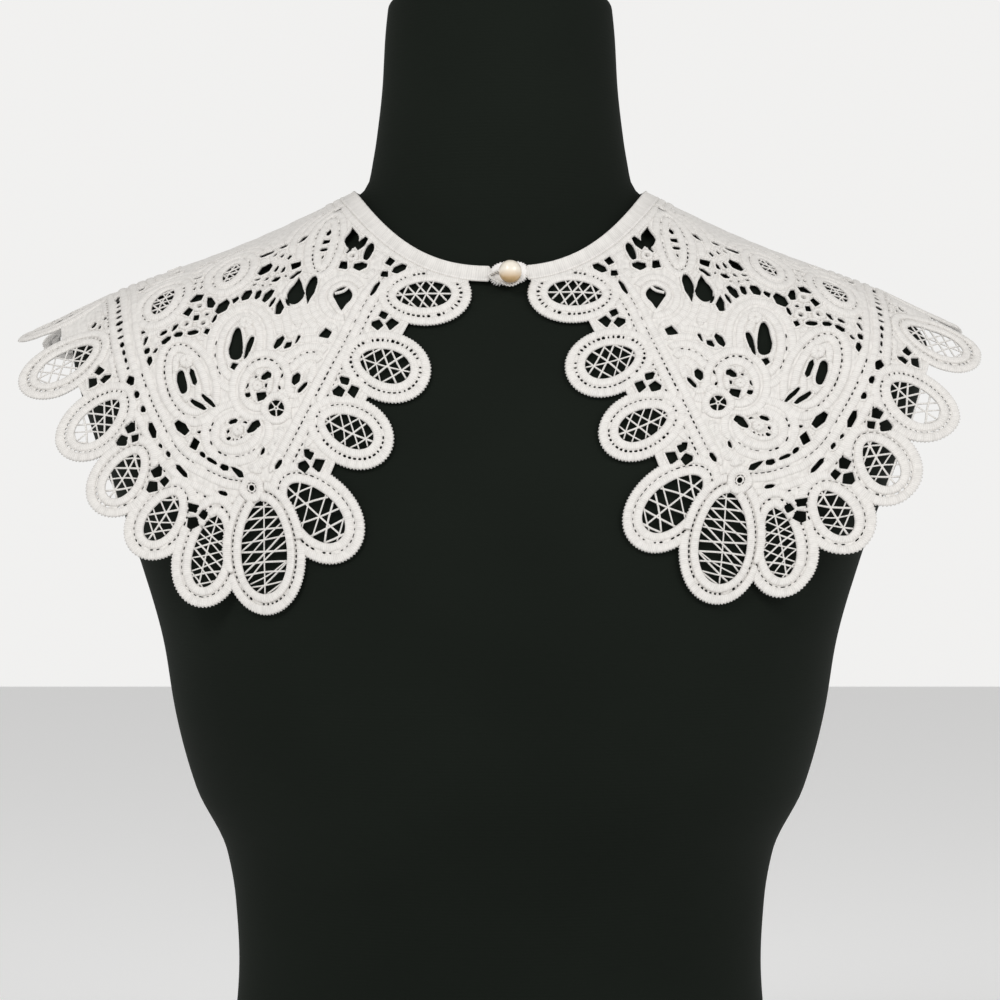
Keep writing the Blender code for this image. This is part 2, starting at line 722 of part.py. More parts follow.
def finish(name, colour, roughness):
    """Principled material of one piece."""
    material = bpy.data.materials.new(name)
    material.use_nodes = True
    shader = material.node_tree.nodes["Principled BSDF"]
    shader.inputs["Base Color"].default_value = colour
    shader.inputs["Roughness"].default_value = roughness
    shader.inputs["Metallic"].default_value = 0.0
    return material


def add_object(name, verts, faces, material):
    """One object from points in millimetres, shaded smooth but for its sharp edges."""
    mesh = bpy.data.meshes.new(name)
    mesh.from_pydata([tuple(c * MM for c in v) for v in verts], [], faces)
    mesh.materials.append(material)
    thing = bpy.data.objects.new(name, mesh)
    bpy.context.scene.collection.objects.link(thing)
    mesh.shade_smooth()
    mesh.set_sharp_from_angle(angle=math.radians(40))
    return thing


def thicken(sheet, wall):
    """Gives an open sheet its wall, outwards from the form."""
    solidify = sheet.modifiers.new("wall", "SOLIDIFY")
    solidify.thickness = wall * MM
    solidify.offset = 1
    return sheet


def face_outward(sheet_verts, triangles):
    """The triangles with their corners ordered so that they face away from the form's axis."""
    facing = []
    for a, b, c in triangles:
        pa, pb, pc = (Vector(sheet_verts[i]) for i in (a, b, c))
        normal = (pb - pa).cross(pc - pa)
        away = Vector((pa.x, pa.y, 60.0))
        facing.append((a, b, c) if normal.dot(away) > 0 else (a, c, b))
    return facing


def lay_sheet(name, flat_verts, triangles, surface, material, wall):
    """Lays a flat piece over the form and thickens it."""
    verts = [surface.point(x, y) for x, y in flat_verts]
    sheet = add_object(name, verts, face_outward(verts, triangles), material)
    return thicken(sheet, wall)


def form_rows():
    """Heights and shrink factors of the form's rows, with a rounded top edge."""
    heights = [float(h) for run in FORM_ROWS for h in np.arange(run.start, run.end, run.step)]
    rows = [(height, 0.0) for height in heights]
    edge_start = FORM_TOP - TOP_EDGE_RADIUS
    for i in range(TOP_EDGE_ROWS + 1):
        t = math.pi / 2 * i / TOP_EDGE_ROWS
        rows.append((edge_start + TOP_EDGE_RADIUS * math.sin(t), TOP_EDGE_RADIUS * (1 - math.cos(t))))
    return rows


def build_form(material):
    """The solid torso and neck, closed by a flat base and a flat top."""
    verts = []
    rows = form_rows()
    for height, shrink in rows:
        for i in range(FORM_SEGMENTS):
            t = 2 * math.pi * i / FORM_SEGMENTS
            azimuth = math.atan2(SIDE_SPREAD * math.sin(t), math.cos(t))
            radius = float(form_radius(height, azimuth)) - shrink
            verts.append((radius * math.sin(azimuth), -radius * math.cos(azimuth), height))
    faces = []
    for row in range(len(rows) - 1):
        for i in range(FORM_SEGMENTS):
            beside = (i + 1) % FORM_SEGMENTS
            low, high = row * FORM_SEGMENTS, (row + 1) * FORM_SEGMENTS
            faces.append((low + i, low + beside, high + beside, high + i))
    last = (len(rows) - 1) * FORM_SEGMENTS
    faces.append(tuple(reversed(range(FORM_SEGMENTS))))
    faces.append(tuple(range(last, last + FORM_SEGMENTS)))
    return add_object("dress_form", verts, faces, material)


def build_panels(surface, material):
    """Left and right lace halves, mirror images of one pattern."""
    row = medallions()
    ground = [(0.0, 0.0)] + [(m.across, m.down) for m in row]
    ground.append(on_arc(HALF_SWEEP + GROUND_MARGIN_ANGLE, BACK_OUT))
    cloth = [ground] + [medallion_outline(m) for m in row]
    cuts = [neck_cut(), back_cut()]
    for medallion in row:
        cuts.extend(web_openings(medallion))
    cuts.extend(corner_openings(row))
    cuts.extend(gap_outline(gap) for gap in FIELD_GAPS)
    cuts.extend(back_openings())
    flat, triangles = cut_cloth(cloth, cuts)
    for name, side in (("lace_left", -1), ("lace_right", 1)):
        lay_sheet(name, [(side * x, y) for x, y in flat], triangles, surface, material, LACE_WALL)


def build_band(surface, material):
    """The tape round the neck edge, from the loop's end round the back to the tab's end."""
    left = math.degrees(math.asin(BAND_LEFT_END / (NECK_ARC + BAND_WIDTH / 2)))
    right = math.degrees(math.asin(BAND_RIGHT_END / (NECK_ARC + BAND_WIDTH / 2)))
    left_angles = [-left, -left - 1, -left - 3] + list(np.arange(-8, -HALF_SWEEP, -BAND_STEP))
    right_angles = list(np.arange(HALF_SWEEP, right + 1, -BAND_STEP)) + [right]
    verts = []
    for i, angle in enumerate(left_angles + right_angles):
        inset = BAND_END_INSETS[i] if i < len(BAND_END_INSETS) else 0.0
        for out in (BAND_INNER + inset, (BAND_INNER + BAND_WIDTH) / 2, BAND_WIDTH - inset):
            verts.append(surface.point(*on_arc(angle, out)))
    triangles = []
    for i in range(len(verts) // 3 - 1):
        for j in (0, 1):
            a, b, c, d = 3 * i + j, 3 * i + j + 1, 3 * i + j + 4, 3 * i + j + 3
            triangles += [(a, b, c), (a, c, d)]
    sheet = add_object("neck_band", verts, face_outward(verts, triangles), material)
    return thicken(sheet, LACE_WALL)


def build_tab(surface, material):
    """Rounded end of the band, under the button."""
    count = 26
    outline = []
    for i in range(count):
        t = 2 * math.pi * i / count
        c, s = math.cos(t), math.sin(t)
        x = TAB_CENTRE_ACROSS + TAB_LENGTH / 2 * math.copysign(abs(c)**TAB_SQUARENESS, c)
        y = TAB_CENTRE_OUT + TAB_HEIGHT / 2 * math.copysign(abs(s)**TAB_SQUARENESS, s)
        outline.append((min(x, BAND_RIGHT_END - SEAM_GAP - 0.6 * abs(s)), NECK_ARC + y))
    flat, triangles = cut_cloth([outline], [])
    return lay_sheet("button_tab", flat, triangles, surface, material, LACE_WALL)


def lifted(surface, across, down, height):
    """A point above the lace's inner face."""
    place, _, _, outward = surface.frame(across, down)
    return place + outward * height


def build_pearl(surface, material):
    """Ball button, just clear of the tab."""
    radius = PEARL_DIAMETER / 2
    centre = lifted(surface, PEARL_ACROSS, NECK_ARC + PEARL_OUT, LACE_WALL + SEAM_GAP + radius)
    shape = bmesh.new()
    bmesh.ops.create_uvsphere(shape, u_segments=PEARL_SEGMENTS, v_segments=PEARL_RINGS,
                              radius=radius * MM)
    mesh = bpy.data.meshes.new("pearl_button")
    shape.to_mesh(mesh)
    shape.free()
    mesh.materials.append(material)
    mesh.shade_smooth()
    pearl = bpy.data.objects.new("pearl_button", mesh)
    pearl.location = centre * MM
    bpy.context.scene.collection.objects.link(pearl)
    return pearl


def loop_path():
    """Flat path of the loop: a drop that holds the button's foot and ends on the band."""
    path = []
    tip = Vector((LOOP_TIP_ACROSS, LOOP_TIP_OUT))
    centre = Vector((PEARL_ACROSS, PEARL_OUT))
    for i in range(LOOP_SEGMENTS):
        t = math.pi - 2 * math.pi * (i + 0.5) / LOOP_SEGMENTS
        ring = centre + LOOP_RADIUS * Vector((math.cos(t), math.sin(t)))
        pull = max(0.0, -math.cos(t))**2
        path.append((ring.x + (tip.x - ring.x) * pull * LOOP_PULL, ring.y - (ring.y - tip.y) * pull * 0.5))
    return path


def build_loop(surface, material):
    """Thread cord round the button's foot."""
    height = LACE_WALL + SEAM_GAP + LOOP_CORD / 2
    spine = [lifted(surface, x, NECK_ARC + y, height) for x, y in loop_path()]
    outward = surface.frame(PEARL_ACROSS, NECK_ARC + PEARL_OUT)[3]
    verts = []
    count = len(spine)
    for i, place in enumerate(spine):
        along = (spine[(i + 1) % count] - spine[i - 1]).normalized()
        beside = outward.cross(along).normalized()
        up = along.cross(beside)
        for k in range(LOOP_SIDES):
            t = 2 * math.pi * k / LOOP_SIDES
            verts.append(place + (beside * math.cos(t) + up * math.sin(t)) * LOOP_CORD / 2)
    faces = []
    for i in range(count):
        after = (i + 1) % count
        for k in range(LOOP_SIDES):
            beside = (k + 1) % LOOP_SIDES
            faces.append((i * LOOP_SIDES + k, i * LOOP_SIDES + beside,
                          after * LOOP_SIDES + beside, after * LOOP_SIDES + k))
    return add_object("button_loop", verts, faces, material)


def main():
    clear_scene()
    surface = CollarSurface()
    build_form(finish("form_cloth", FABRIC_BLACK, 0.85))
    build_panels(surface, finish("lace_cotton", COTTON_WHITE, 0.8))
    build_band(surface, finish("band_cotton", COTTON_WHITE, 0.8))
    build_tab(surface, finish("tab_cotton", COTTON_WHITE, 0.8))
    build_pearl(surface, finish("pearl", PEARL_CREAM, 0.25))
    build_loop(surface, finish("loop_thread", COTTON_WHITE, 0.7))


main()
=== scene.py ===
"""Lace cape collar on a limbless dress form: stitched bands, web threads, neck tape and button.

Lengths are millimetres and angles degrees until MM turns them into the metres of the frame.
The collar is drawn flat first, as a paper pattern: "across" runs sideways from the centre front,
"down" runs from the middle of the neck towards the hem, and the neck edge is an arc of radius
NECK_ARC.  Every stitched band is swept along a line of that pattern and laid over the form.
"""
import logging
import math
import random
from dataclasses import dataclass, field, replace
from enum import Enum
from typing import Callable

import bpy
import numpy as np
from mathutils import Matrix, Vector
from mathutils.geometry import delaunay_2d_cdt


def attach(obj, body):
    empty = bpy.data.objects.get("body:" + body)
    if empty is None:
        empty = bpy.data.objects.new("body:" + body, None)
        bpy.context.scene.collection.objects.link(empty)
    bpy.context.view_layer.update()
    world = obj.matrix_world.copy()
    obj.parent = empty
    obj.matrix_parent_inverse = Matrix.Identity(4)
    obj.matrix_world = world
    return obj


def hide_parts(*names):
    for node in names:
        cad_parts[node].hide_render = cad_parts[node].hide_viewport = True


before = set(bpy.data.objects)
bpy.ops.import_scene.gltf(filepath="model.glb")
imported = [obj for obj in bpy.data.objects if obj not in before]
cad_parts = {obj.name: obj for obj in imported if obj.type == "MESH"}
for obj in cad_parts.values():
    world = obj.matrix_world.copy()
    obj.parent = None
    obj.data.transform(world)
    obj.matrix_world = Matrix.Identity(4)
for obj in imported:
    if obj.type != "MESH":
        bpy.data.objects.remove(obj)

LOG = logging.getLogger("lace_collar")
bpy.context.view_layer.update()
MM = 0.001                   # a millimetre in the frame's metres
SEAM_GAP = 0.3               # left between pieces that are sewn together
BODY = "root"
Flat = np.ndarray            # rows of across and down on the flat pattern


def cos_sin(angle: float) -> tuple[float, float]:
    """Cosine and sine of an angle in degrees."""
    return math.cos(math.radians(angle)), math.sin(math.radians(angle))


def running(steps: np.ndarray) -> np.ndarray:
    """Lengths from the start of a line, from the lengths of its steps."""
    return np.concatenate([[0], np.cumsum(steps)])


# ---------------- the form and the worn surface
@dataclass(frozen=True)
class Section:
    """Horizontal section of the form at one height, an oval of differing front and back."""

    height: float
    half_width: float
    front: float
    back: float
    roundness: float             # 2 for an ellipse, more for a squarer oval


TORSO = tuple(Section(*row) for row in (
    (0, 145, 100, 110, 2.3), (60, 134, 95, 100, 2.3), (110, 121.5, 88, 88, 2.2),
    (140, 119.5, 87, 82, 2.2), (168, 121, 90, 82, 2.2), (191, 125, 98, 84, 2.2),
    (220, 138.7, 110, 90, 2.3), (256, 148, 122, 95, 2.4), (286, 153, 124, 98, 2.4),
    (320, 163, 116, 100, 2.4), (345, 172, 107, 100, 2.4), (364, 180, 101, 99, 2.45),
    (394, 190, 90, 93, 2.5), (408, 194, 84, 90, 2.4), (420, 196, 77.5, 88, 2.3),
    (430, 190, 72, 86, 2.2), (440, 177, 66.5, 83, 2.1), (450, 151, 60, 80, 2.0),
    (460, 122, 51.5, 75, 2.0), (470, 98, 43.5, 69, 2.0), (480, 79, 36, 61, 2.0),
    (492, 59, 27, 52, 2.0), (500, 46, 20, 42, 2.0), (512, 32, 14, 30, 2.0), (530, 6, 3, 6, 2.0)))
NECK = tuple(Section(*row) for row in (
    (0, 40, 35, 40, 2.0), (300, 40, 35, 40, 2.0), (380, 50, 45, 50, 2.0), (420, 55, 51, 56, 2.0),
    (450, 59, 54, 60, 2.0), (480, 60.5, 54, 59, 2.0), (497, 59.5, 53.5, 58, 2.0),
    (515, 56.8, 53.5, 57, 2.0), (540, 54, 53, 54, 2.0), (562, 52.8, 52.5, 53, 2.0),
    (580, 51, 52, 52, 2.0)))
NECK_ARC = 89.0              # radius of the pattern's neck edge
HALF_SWEEP = 134.0           # angle of one half, from the centre front to the centre back
COLLAR_REACH = 212.0         # longest distance out from the neck edge that is worked out


class SmoothTable:
    """A table of sections that can be read at any height."""

    def __init__(self, sections: tuple[Section, ...]) -> None:
        """Works out the slopes that let the curve pass each row without overshooting.

        Args:
            sections: The rows, from the lowest to the highest.
        """
        self.heights = np.array([s.height for s in sections], float)
        self.columns: dict[str, tuple[np.ndarray, np.ndarray]] = {}
        for name in ("half_width", "front", "back", "roundness"):
            values = np.array([getattr(s, name) for s in sections], float)
            self.columns[name] = (values, self._slopes(values))

    def _slopes(self, values: np.ndarray) -> np.ndarray:
        """Slopes at the rows.

        Args:
            values: One column of the table.

        Returns:
            One slope a row.
        """
        steps = np.diff(self.heights)
        rises = np.diff(values) / steps
        slopes = np.zeros(len(values))
        slopes[0], slopes[-1] = rises[0], rises[-1]
        for i in range(1, len(values) - 1):
            before, after = rises[i - 1], rises[i]
            if before * after > 0:
                weight_a = 2 * steps[i] + steps[i - 1]
                weight_b = steps[i] + 2 * steps[i - 1]
                slopes[i] = (weight_a + weight_b) / (weight_a / before + weight_b / after)
        return slopes

    def read(self, name: str, height: np.ndarray) -> np.ndarray:
        """A column's value at any height.

        Args:
            name: The column.
            height: Heights to read.

        Returns:
            The values there.
        """
        values, slopes = self.columns[name]
        height = np.clip(height, self.heights[0], self.heights[-1])
        i = np.clip(np.searchsorted(self.heights, height) - 1, 0, len(values) - 2)
        step = self.heights[i + 1] - self.heights[i]
        t = (height - self.heights[i]) / step
        return ((2 * t**3 - 3 * t**2 + 1) * values[i] + (t**3 - 2 * t**2 + t) * step * slopes[i]
                + (3 * t**2 - 2 * t**3) * values[i + 1] + (t**3 - t**2) * step * slopes[i + 1])

    def radius(self, height: np.ndarray, azimuth: np.ndarray) -> np.ndarray:
        """Distance from the axis to the section.

        Args:
            height: Heights.
            azimuth: Directions in radians, 0 at the front.

        Returns:
            The radii.
        """
        side, ahead = np.abs(np.sin(azimuth)), np.cos(azimuth)
        depth = np.where(ahead > 0, self.read("front", height), self.read("back", height))
        power = self.read("roundness", height)
        return ((side / self.read("half_width", height))**power
                + (np.abs(ahead) / depth)**power)**(-1 / power)


@dataclass
class FormShape:
    """The dress form's surface, torso and neck blended into each other."""

    join_sharpness: float = 14.0     # a higher power makes the join of neck and shoulder crisper
    torso: SmoothTable = field(default_factory=lambda: SmoothTable(TORSO))
    neck: SmoothTable = field(default_factory=lambda: SmoothTable(NECK))

    def radius(self, height: np.ndarray, azimuth: np.ndarray) -> np.ndarray:
        """Distance from the form's axis to its surface; azimuths are radians, 0 at the front."""
        torso, neck = (table.radius(height, azimuth) for table in (self.torso, self.neck))
        return (torso**self.join_sharpness + neck**self.join_sharpness)**(1 / self.join_sharpness)


@dataclass
class CollarSurface:
    """The worn collar's inner face: a grid of azimuths by distances out from the neck edge."""

    shape: FormShape
    clearance: float = 1.3           # from the form to the lace's inner face
    half_width: float = 64.5         # the neck edge, seen from above
    front: float = 61.5
    back: float = 62.0
    height_front: float = 453.5      # the neck edge, seen from the front
    height_side: float = 491.5
    height_back: float = 503.0
    rise_front: float = 2.8          # powers of the rise from the front and back to the sides
    rise_back: float = 1.5
    fine: float = 0.5                # step at which each profile is worked out
    out_step: float = 2.0            # steps of the finished grid
    azimuth_steps: int = 180
    parts: int = 720                 # even shares of the way round, at each distance out
    smoothing: int = 6               # fine steps to each side over which the slope is evened out
    top: float = 550.0               # heights between which the form is followed
    bottom: float = 120.0
    edge_margin: float = 0.3         # the form counts from just outside the neck edge
    edge_headroom: float = 5.0
    # azimuth and the steepest slope that the cloth takes there
    slope_limits: tuple[tuple[float, float], ...] = (
        (0, 84), (40, 84), (50, 78), (58, 71), (65, 64), (71, 57), (76, 50), (80, 40), (84.5, 29),
        (91, 25), (100, 25), (112, 38), (130, 66), (145, 80), (180, 84))
    # azimuth and how far the cloth sinks into the hollow beside the neck, as a share
    sags: tuple[tuple[float, float], ...] = (
        (0, 0), (66, 0), (84, 0.75), (130, 0.75), (150, 0), (180, 0))
    # the right half hangs askew: angle, swing in degrees at full reach, lift as a share
    right_hang: tuple[tuple[float, float, float], ...] = (
        (0, -2.0, 0.045), (20, -1.7, 0.045), (30, -0.7, 0.036), (35, 0.0, 0.014), (41, 1.6, 0.018),
        (49, 4.2, 0.012), (57, 4.8, 0.036), (65, 5.2, 0.045), (75, 5.0, 0.04), (134, 0.0, 0.0))

    def __post_init__(self) -> None:
        """Works the grid out once."""
        azimuths = np.linspace(0, math.pi, self.azimuth_steps + 1)
        columns = []
        for azimuth in azimuths:
            radii, heights = self._profile(float(azimuth))
            across, ahead = radii * math.sin(azimuth), -radii * math.cos(azimuth)
            columns.append(np.stack([across, ahead, heights], axis=-1))
        self.grid = np.array(columns)
        steps = np.linalg.norm(np.diff(self.grid, axis=0), axis=2)
        lengths = np.concatenate([np.zeros((1, steps.shape[1])), np.cumsum(steps, axis=0)])
        share = lengths / lengths[-1]
        fractions = np.linspace(0, 1, self.parts + 1)
        columns_at = np.arange(len(azimuths))
        self.place = np.stack([np.interp(fractions, share[:, row], columns_at)
                               for row in range(share.shape[1])])

    def _neckline(self, azimuth: float) -> tuple[float, float]:
        """Radius and height of the neck edge.

        Args:
            azimuth: Direction in radians.

        Returns:
            The radius and the height.
        """
        side, ahead = abs(math.sin(azimuth)), math.cos(azimuth)
        depth = self.front if ahead > 0 else self.back
        radius = 1 / math.hypot(side / self.half_width, ahead / depth)
        if ahead > 0:
            drop = self.height_side - self.height_front
            return radius, self.height_side - drop * (1 - side**self.rise_front)
        rise = self.height_back - self.height_side
        return radius, self.height_side + rise * (1 - side**self.rise_back)

    @staticmethod
    def _taut(start: tuple[float, float], points: list[tuple[float, float]]) -> np.ndarray:
        """A string pulled from start over the points.

        Args:
            start: Where the string is held.
            points: What it lies on.

        Returns:
            The string's corners.
        """
        hull = [start]
        for point in points:
            while len(hull) >= 2:
                run = (hull[-1][0] - hull[-2][0], hull[-1][1] - hull[-2][1])
                turn = run[0] * (point[1] - hull[-2][1]) - run[1] * (point[0] - hull[-2][0])
                if turn < 0:
                    break
                hull.pop()
            hull.append(point)
        return np.array(hull)

    @staticmethod
    def _even(line: np.ndarray, step: float) -> np.ndarray:
        """A line's points at even steps, as far as the collar reaches."""
        return Line(line).at(np.arange(0, COLLAR_REACH + step, step))

    def _profile(self, azimuth: float) -> tuple[np.ndarray, np.ndarray]:
        """The collar going out from the neck edge in one vertical plane.

        Args:
            azimuth: The plane's direction in radians.

        Returns:
            Radii and heights.
        """
        degrees = math.degrees(azimuth)
        heights = np.arange(self.top, self.bottom, -self.fine)
        radii = self.shape.radius(heights, np.float64(azimuth))
        outward = np.stack([-np.gradient(heights), np.gradient(radii)])
        outward /= np.hypot(*outward)
        skin = np.stack([radii, heights]) + self.clearance * outward
        radius, height = self._neckline(azimuth)
        beyond = [tuple(p) for p in skin.T
                  if p[0] > radius + self.edge_margin and p[1] < height + self.edge_headroom]
        line = self._even(self._taut((radius, height), beyond), self.fine)
        shoulder = np.array(beyond[:1 + int(np.argmax([p[0] for p in beyond]))])
        drop_to_skin = np.maximum(line[:, 1] - np.interp(line[:, 0], *shoulder.T), 0)
        drop_to_skin[line[:, 0] > shoulder[-1, 0]] = 0
        line[:, 1] -= np.interp(degrees, *np.array(self.sags).T) * drop_to_skin
        line = self._even(line, self.fine)
        slope = np.arctan2(-np.diff(line[:, 1]), np.diff(line[:, 0]))
        window = 2 * self.smoothing + 1
        padded = np.pad(slope, self.smoothing, mode="edge")
        slope = np.convolve(padded, np.ones(window) / window, "valid")
        slope = np.minimum(slope, math.radians(np.interp(degrees, *np.array(self.slope_limits).T)))
        every = int(self.out_step / self.fine)
        radii = radius + np.concatenate([[0], np.cumsum(np.cos(slope)) * self.fine])
        heights = height - np.concatenate([[0], np.cumsum(np.sin(slope)) * self.fine])
        return radii[::every], heights[::every]

    def points(self, flat: Flat) -> np.ndarray:
        """World places of points of the flat pattern.

        Args:
            flat: Rows of across and down.

        Returns:
            Rows of x, y and z.
        """
        across, down = flat[..., 0], flat[..., 1]
        angle = np.degrees(np.arctan2(np.abs(across), down))
        out = np.hypot(across, down) - NECK_ARC
        hang = np.array(self.right_hang).T
        right = (across > 0) & (out > 0)
        out = np.where(right, out * (1 - np.interp(angle, hang[0], hang[2])), out)
        swung = np.maximum(0, angle + np.interp(angle, hang[0], hang[1]) * out / COLLAR_REACH)
        angle = np.where(right, swung, angle)
        row = np.clip(np.floor(out / self.out_step), 0, self.grid.shape[1] - 2).astype(int)
        between = out / self.out_step - row
        part = np.clip(angle / HALF_SWEEP, 0, 1) * self.parts
        low = np.minimum(part.astype(int), self.parts - 1)
        beside = part - low
        near = self.place[row, low] * (1 - beside) + self.place[row, low + 1] * beside
        far = self.place[row + 1, low] * (1 - beside) + self.place[row + 1, low + 1] * beside
        place = near * (1 - between) + far * between
        column = np.clip(np.floor(place), 0, self.grid.shape[0] - 2).astype(int)
        beside, between = (place - column)[..., None], between[..., None]
        near = self.grid[column, row] * (1 - beside) + self.grid[column + 1, row] * beside
        far = self.grid[column, row + 1] * (1 - beside) + self.grid[column + 1, row + 1] * beside
        world = near * (1 - between) + far * between
        world[..., 0] = np.copysign(world[..., 0], across)
        return world

    def normals(self, flat: Flat) -> np.ndarray:
        """Unit directions away from the form.

        Args:
            flat: Rows of across and down.

        Returns:
            Rows of unit vectors.
        """
        side, below = np.eye(2)
        right = self.points(flat + side) - self.points(flat - side)
        lower = self.points(flat + below) - self.points(flat - below)
        outward = np.cross(right, -lower)
        return outward / np.linalg.norm(outward, axis=-1, keepdims=True)

    def lifted(self, flat: Flat, height: np.ndarray) -> np.ndarray:
        """World places of flat ones, each at its height above the lace's inner face."""
        return self.points(flat) + self.normals(flat) * np.asarray(height)[..., None]


# ---------------- lines of the flat pattern
def on_arc(angle: float, out: float) -> tuple[float, float]:
    """Flat place given by its angle from the centre front and its distance from the neck edge."""
    c, s = cos_sin(angle)
    return (NECK_ARC + out) * s, (NECK_ARC + out) * c


def turned(points: Flat, turn: float, across: float, down: float) -> Flat:
    """Points drawn along +x, turned and moved to their place."""
    c, s = cos_sin(turn)
    return points @ np.array([[c, s], [-s, c]]) + np.array([across, down])


class Line:
    """A line of the pattern that can be read at any length along it."""

    def __init__(self, points: Flat, closed: bool = False) -> None:
        """Measures the line.

        Args:
            points: Its points in order.
            closed: Whether its end meets its start.
        """
        self.closed = closed
        self.corners = np.asarray(points, float)
        self.ring = np.vstack([self.corners, self.corners[:1]]) if closed else self.corners
        self.lengths = running(np.hypot(*np.diff(self.ring, axis=0).T))
        self.length = float(self.lengths[-1])

    def at(self, along: np.ndarray) -> Flat:
        """Places at lengths along the line."""
        along = np.mod(along, self.length) if self.closed else along
        return np.stack([np.interp(along, self.lengths, self.ring[:, k]) for k in (0, 1)], axis=-1)

    def beside(self, along: np.ndarray, reach: float = 0.6) -> Flat:
        """Unit directions square to the line, outwards from a ring.

        Args:
            along: Lengths along the line.
            reach: How far ahead and behind the line's direction is taken.

        Returns:
            The directions.
        """
        ahead, behind = along + reach, along - reach
        if not self.closed:
            ahead, behind = np.minimum(ahead, self.length), np.maximum(behind, 0)
        way = self.at(ahead) - self.at(behind)
        way /= np.maximum(np.linalg.norm(way, axis=-1, keepdims=True), 1e-9)
        return np.stack([way[..., 1], -way[..., 0]], axis=-1)

    def stations(self, step: float) -> np.ndarray:
        """Even lengths along the line, about a step apart."""
        count = max(int(round(self.length / step)), 6 if self.closed else 1)
        return np.linspace(0, self.length, count + 1)[:count if self.closed else None]

    def shifted(self, offset: float, step: float = 1.0) -> "Line":
        """The line moved sideways."""
        along = self.stations(step)
        return Line(self.at(along) + self.beside(along) * offset, self.closed)

    def kept(self, keep: Callable[[Flat], np.ndarray], step: float = 1.0) -> list["Line"]:
        """The stretches of the line whose points pass a test.

        Args:
            keep: Tells for each point whether it stays.
            step: How finely the line is tested.

        Returns:
            The line itself, or its stretches.
        """
        along = self.stations(step)
        places = self.at(along)
        stays = keep(places)
        if stays.all():
            return [self]
        if self.closed:
            start = int(np.argmin(stays))
            places, stays = np.roll(places, -start, axis=0), np.roll(stays, -start)
        ends = np.flatnonzero(np.diff(np.concatenate([[False], stays, [False]])))
        return [Line(places[a:b]) for a, b in zip(ends[::2], ends[1::2]) if b - a > 3]


def arc_line(out: float, first: float) -> Line:
    """A line round the neck at a distance out, from an angle to the centre back."""
    return Line(np.array([on_arc(a, out) for a in np.arange(first, HALF_SWEEP - 0.6, 1)]))


def smooth(places: tuple[tuple[float, float], ...]) -> Line:
    """A smooth line through a few places.

    Args:
        places: The places, in order.

    Returns:
        The line.
    """
    knots = np.array(places, float)
    knots = np.vstack([2 * knots[0] - knots[1], knots, 2 * knots[-1] - knots[-2]])
    points = []
    for i in range(len(knots) - 3):
        a, b, c, d = knots[i:i + 4]
        for t in np.linspace(0, 1, 12, endpoint=False):
            points.append(0.5 * (2 * b + (c - a) * t + (2 * a - 5 * b + 4 * c - d) * t**2
                                 + (3 * b - a - 3 * c + d) * t**3))
    points.append(knots[-2])
    return Line(np.array(points))


@dataclass(frozen=True)
class Oval:
    """A ring of the pattern, fuller towards its far end; start and end open it."""

    across: float
    down: float
    length: float
    width: float
    turn: float = 0.0
    fullness: float = 0.0
    start: float = 0.0
    end: float = 360.0

    @classmethod
    def round(cls, across: float, down: float, radius: float) -> "Oval":
        """A circle."""
        return cls(across, down, 2 * radius, 2 * radius)

    def line(self, offset: float = 0.0) -> Line:
        """The ring as a line.

        Args:
            offset: How far it is moved outwards.

        Returns:
            The line, open where the ring is.
        """
        closed = self.end - self.start >= 360
        t = np.radians(np.linspace(self.start, self.end, 97)[:96 if closed else None])
        shrink = self.width / max(self.width + 2 * offset, 0.1)
        fullness = self.fullness * min(shrink, 1.0)
        points = np.stack([(self.length / 2 + offset) * np.cos(t),
                           (self.width / 2 + offset) * np.sin(t) * (1 + fullness * np.cos(t))],
                          axis=-1)
        return Line(turned(points, self.turn, self.across, self.down), closed)

    def grown(self, offset: float) -> "Oval":
        """The ring moved outwards, as a ring of its own."""
        return replace(self, length=self.length + 2 * offset, width=self.width + 2 * offset)

    def holds(self, places: Flat, offset: float = 0.0) -> np.ndarray:
        """Whether places lie within the ring.

        Args:
            places: The places.
            offset: How far the ring is moved outwards.

        Returns:
            True for each place within it.
        """
        moved = places - np.array([self.across, self.down])
        c, s = cos_sin(self.turn)
        x = (moved[:, 0] * c + moved[:, 1] * s) / (self.length / 2 + offset)
        y = (moved[:, 1] * c - moved[:, 0] * s) / (self.width / 2 + offset)
        return x**2 + (y / (1 + self.fullness * 0.6 * np.clip(x, -1, 1)))**2 < 1


class Form(Enum):
    """Outline of a gap in the lace."""

    OVAL = "oval"
    DROP = "drop"
    TRIANGLE = "triangle"
    SLOT = "slot"


@dataclass(frozen=True)
class Gap:
    """A gap cut through the lace."""

    across: float
    down: float
    length: float
    width: float
    turn: float
    form: Form = Form.OVAL

    def outline(self) -> Flat:
        """The gap's edge as flat points.

        Returns:
            Rows of across and down.
        """
        t = np.radians(np.arange(0, 360, 20.0 if self.length > 3 else 40.0))
        x, y = np.cos(t), np.sin(t)
        if self.form is Form.DROP:
            y = y * np.clip(1.15 * (1 - 0.5 * (x + 1)**2 / 2), 0, 1)
        elif self.form is Form.TRIANGLE:
            y = y * (1.15 - 0.75 * (x + 1) / 2)
            x, y = np.sign(x) * np.abs(x)**0.8, np.sign(y) * np.abs(y)**0.8
        elif self.form is Form.SLOT:
            x, y = np.sign(x) * np.abs(x)**0.75, np.sign(y) * np.abs(y)**0.75
        points = np.stack([x * self.length / 2, y * self.width / 2], axis=-1)
        return turned(points, self.turn, self.across, self.down)


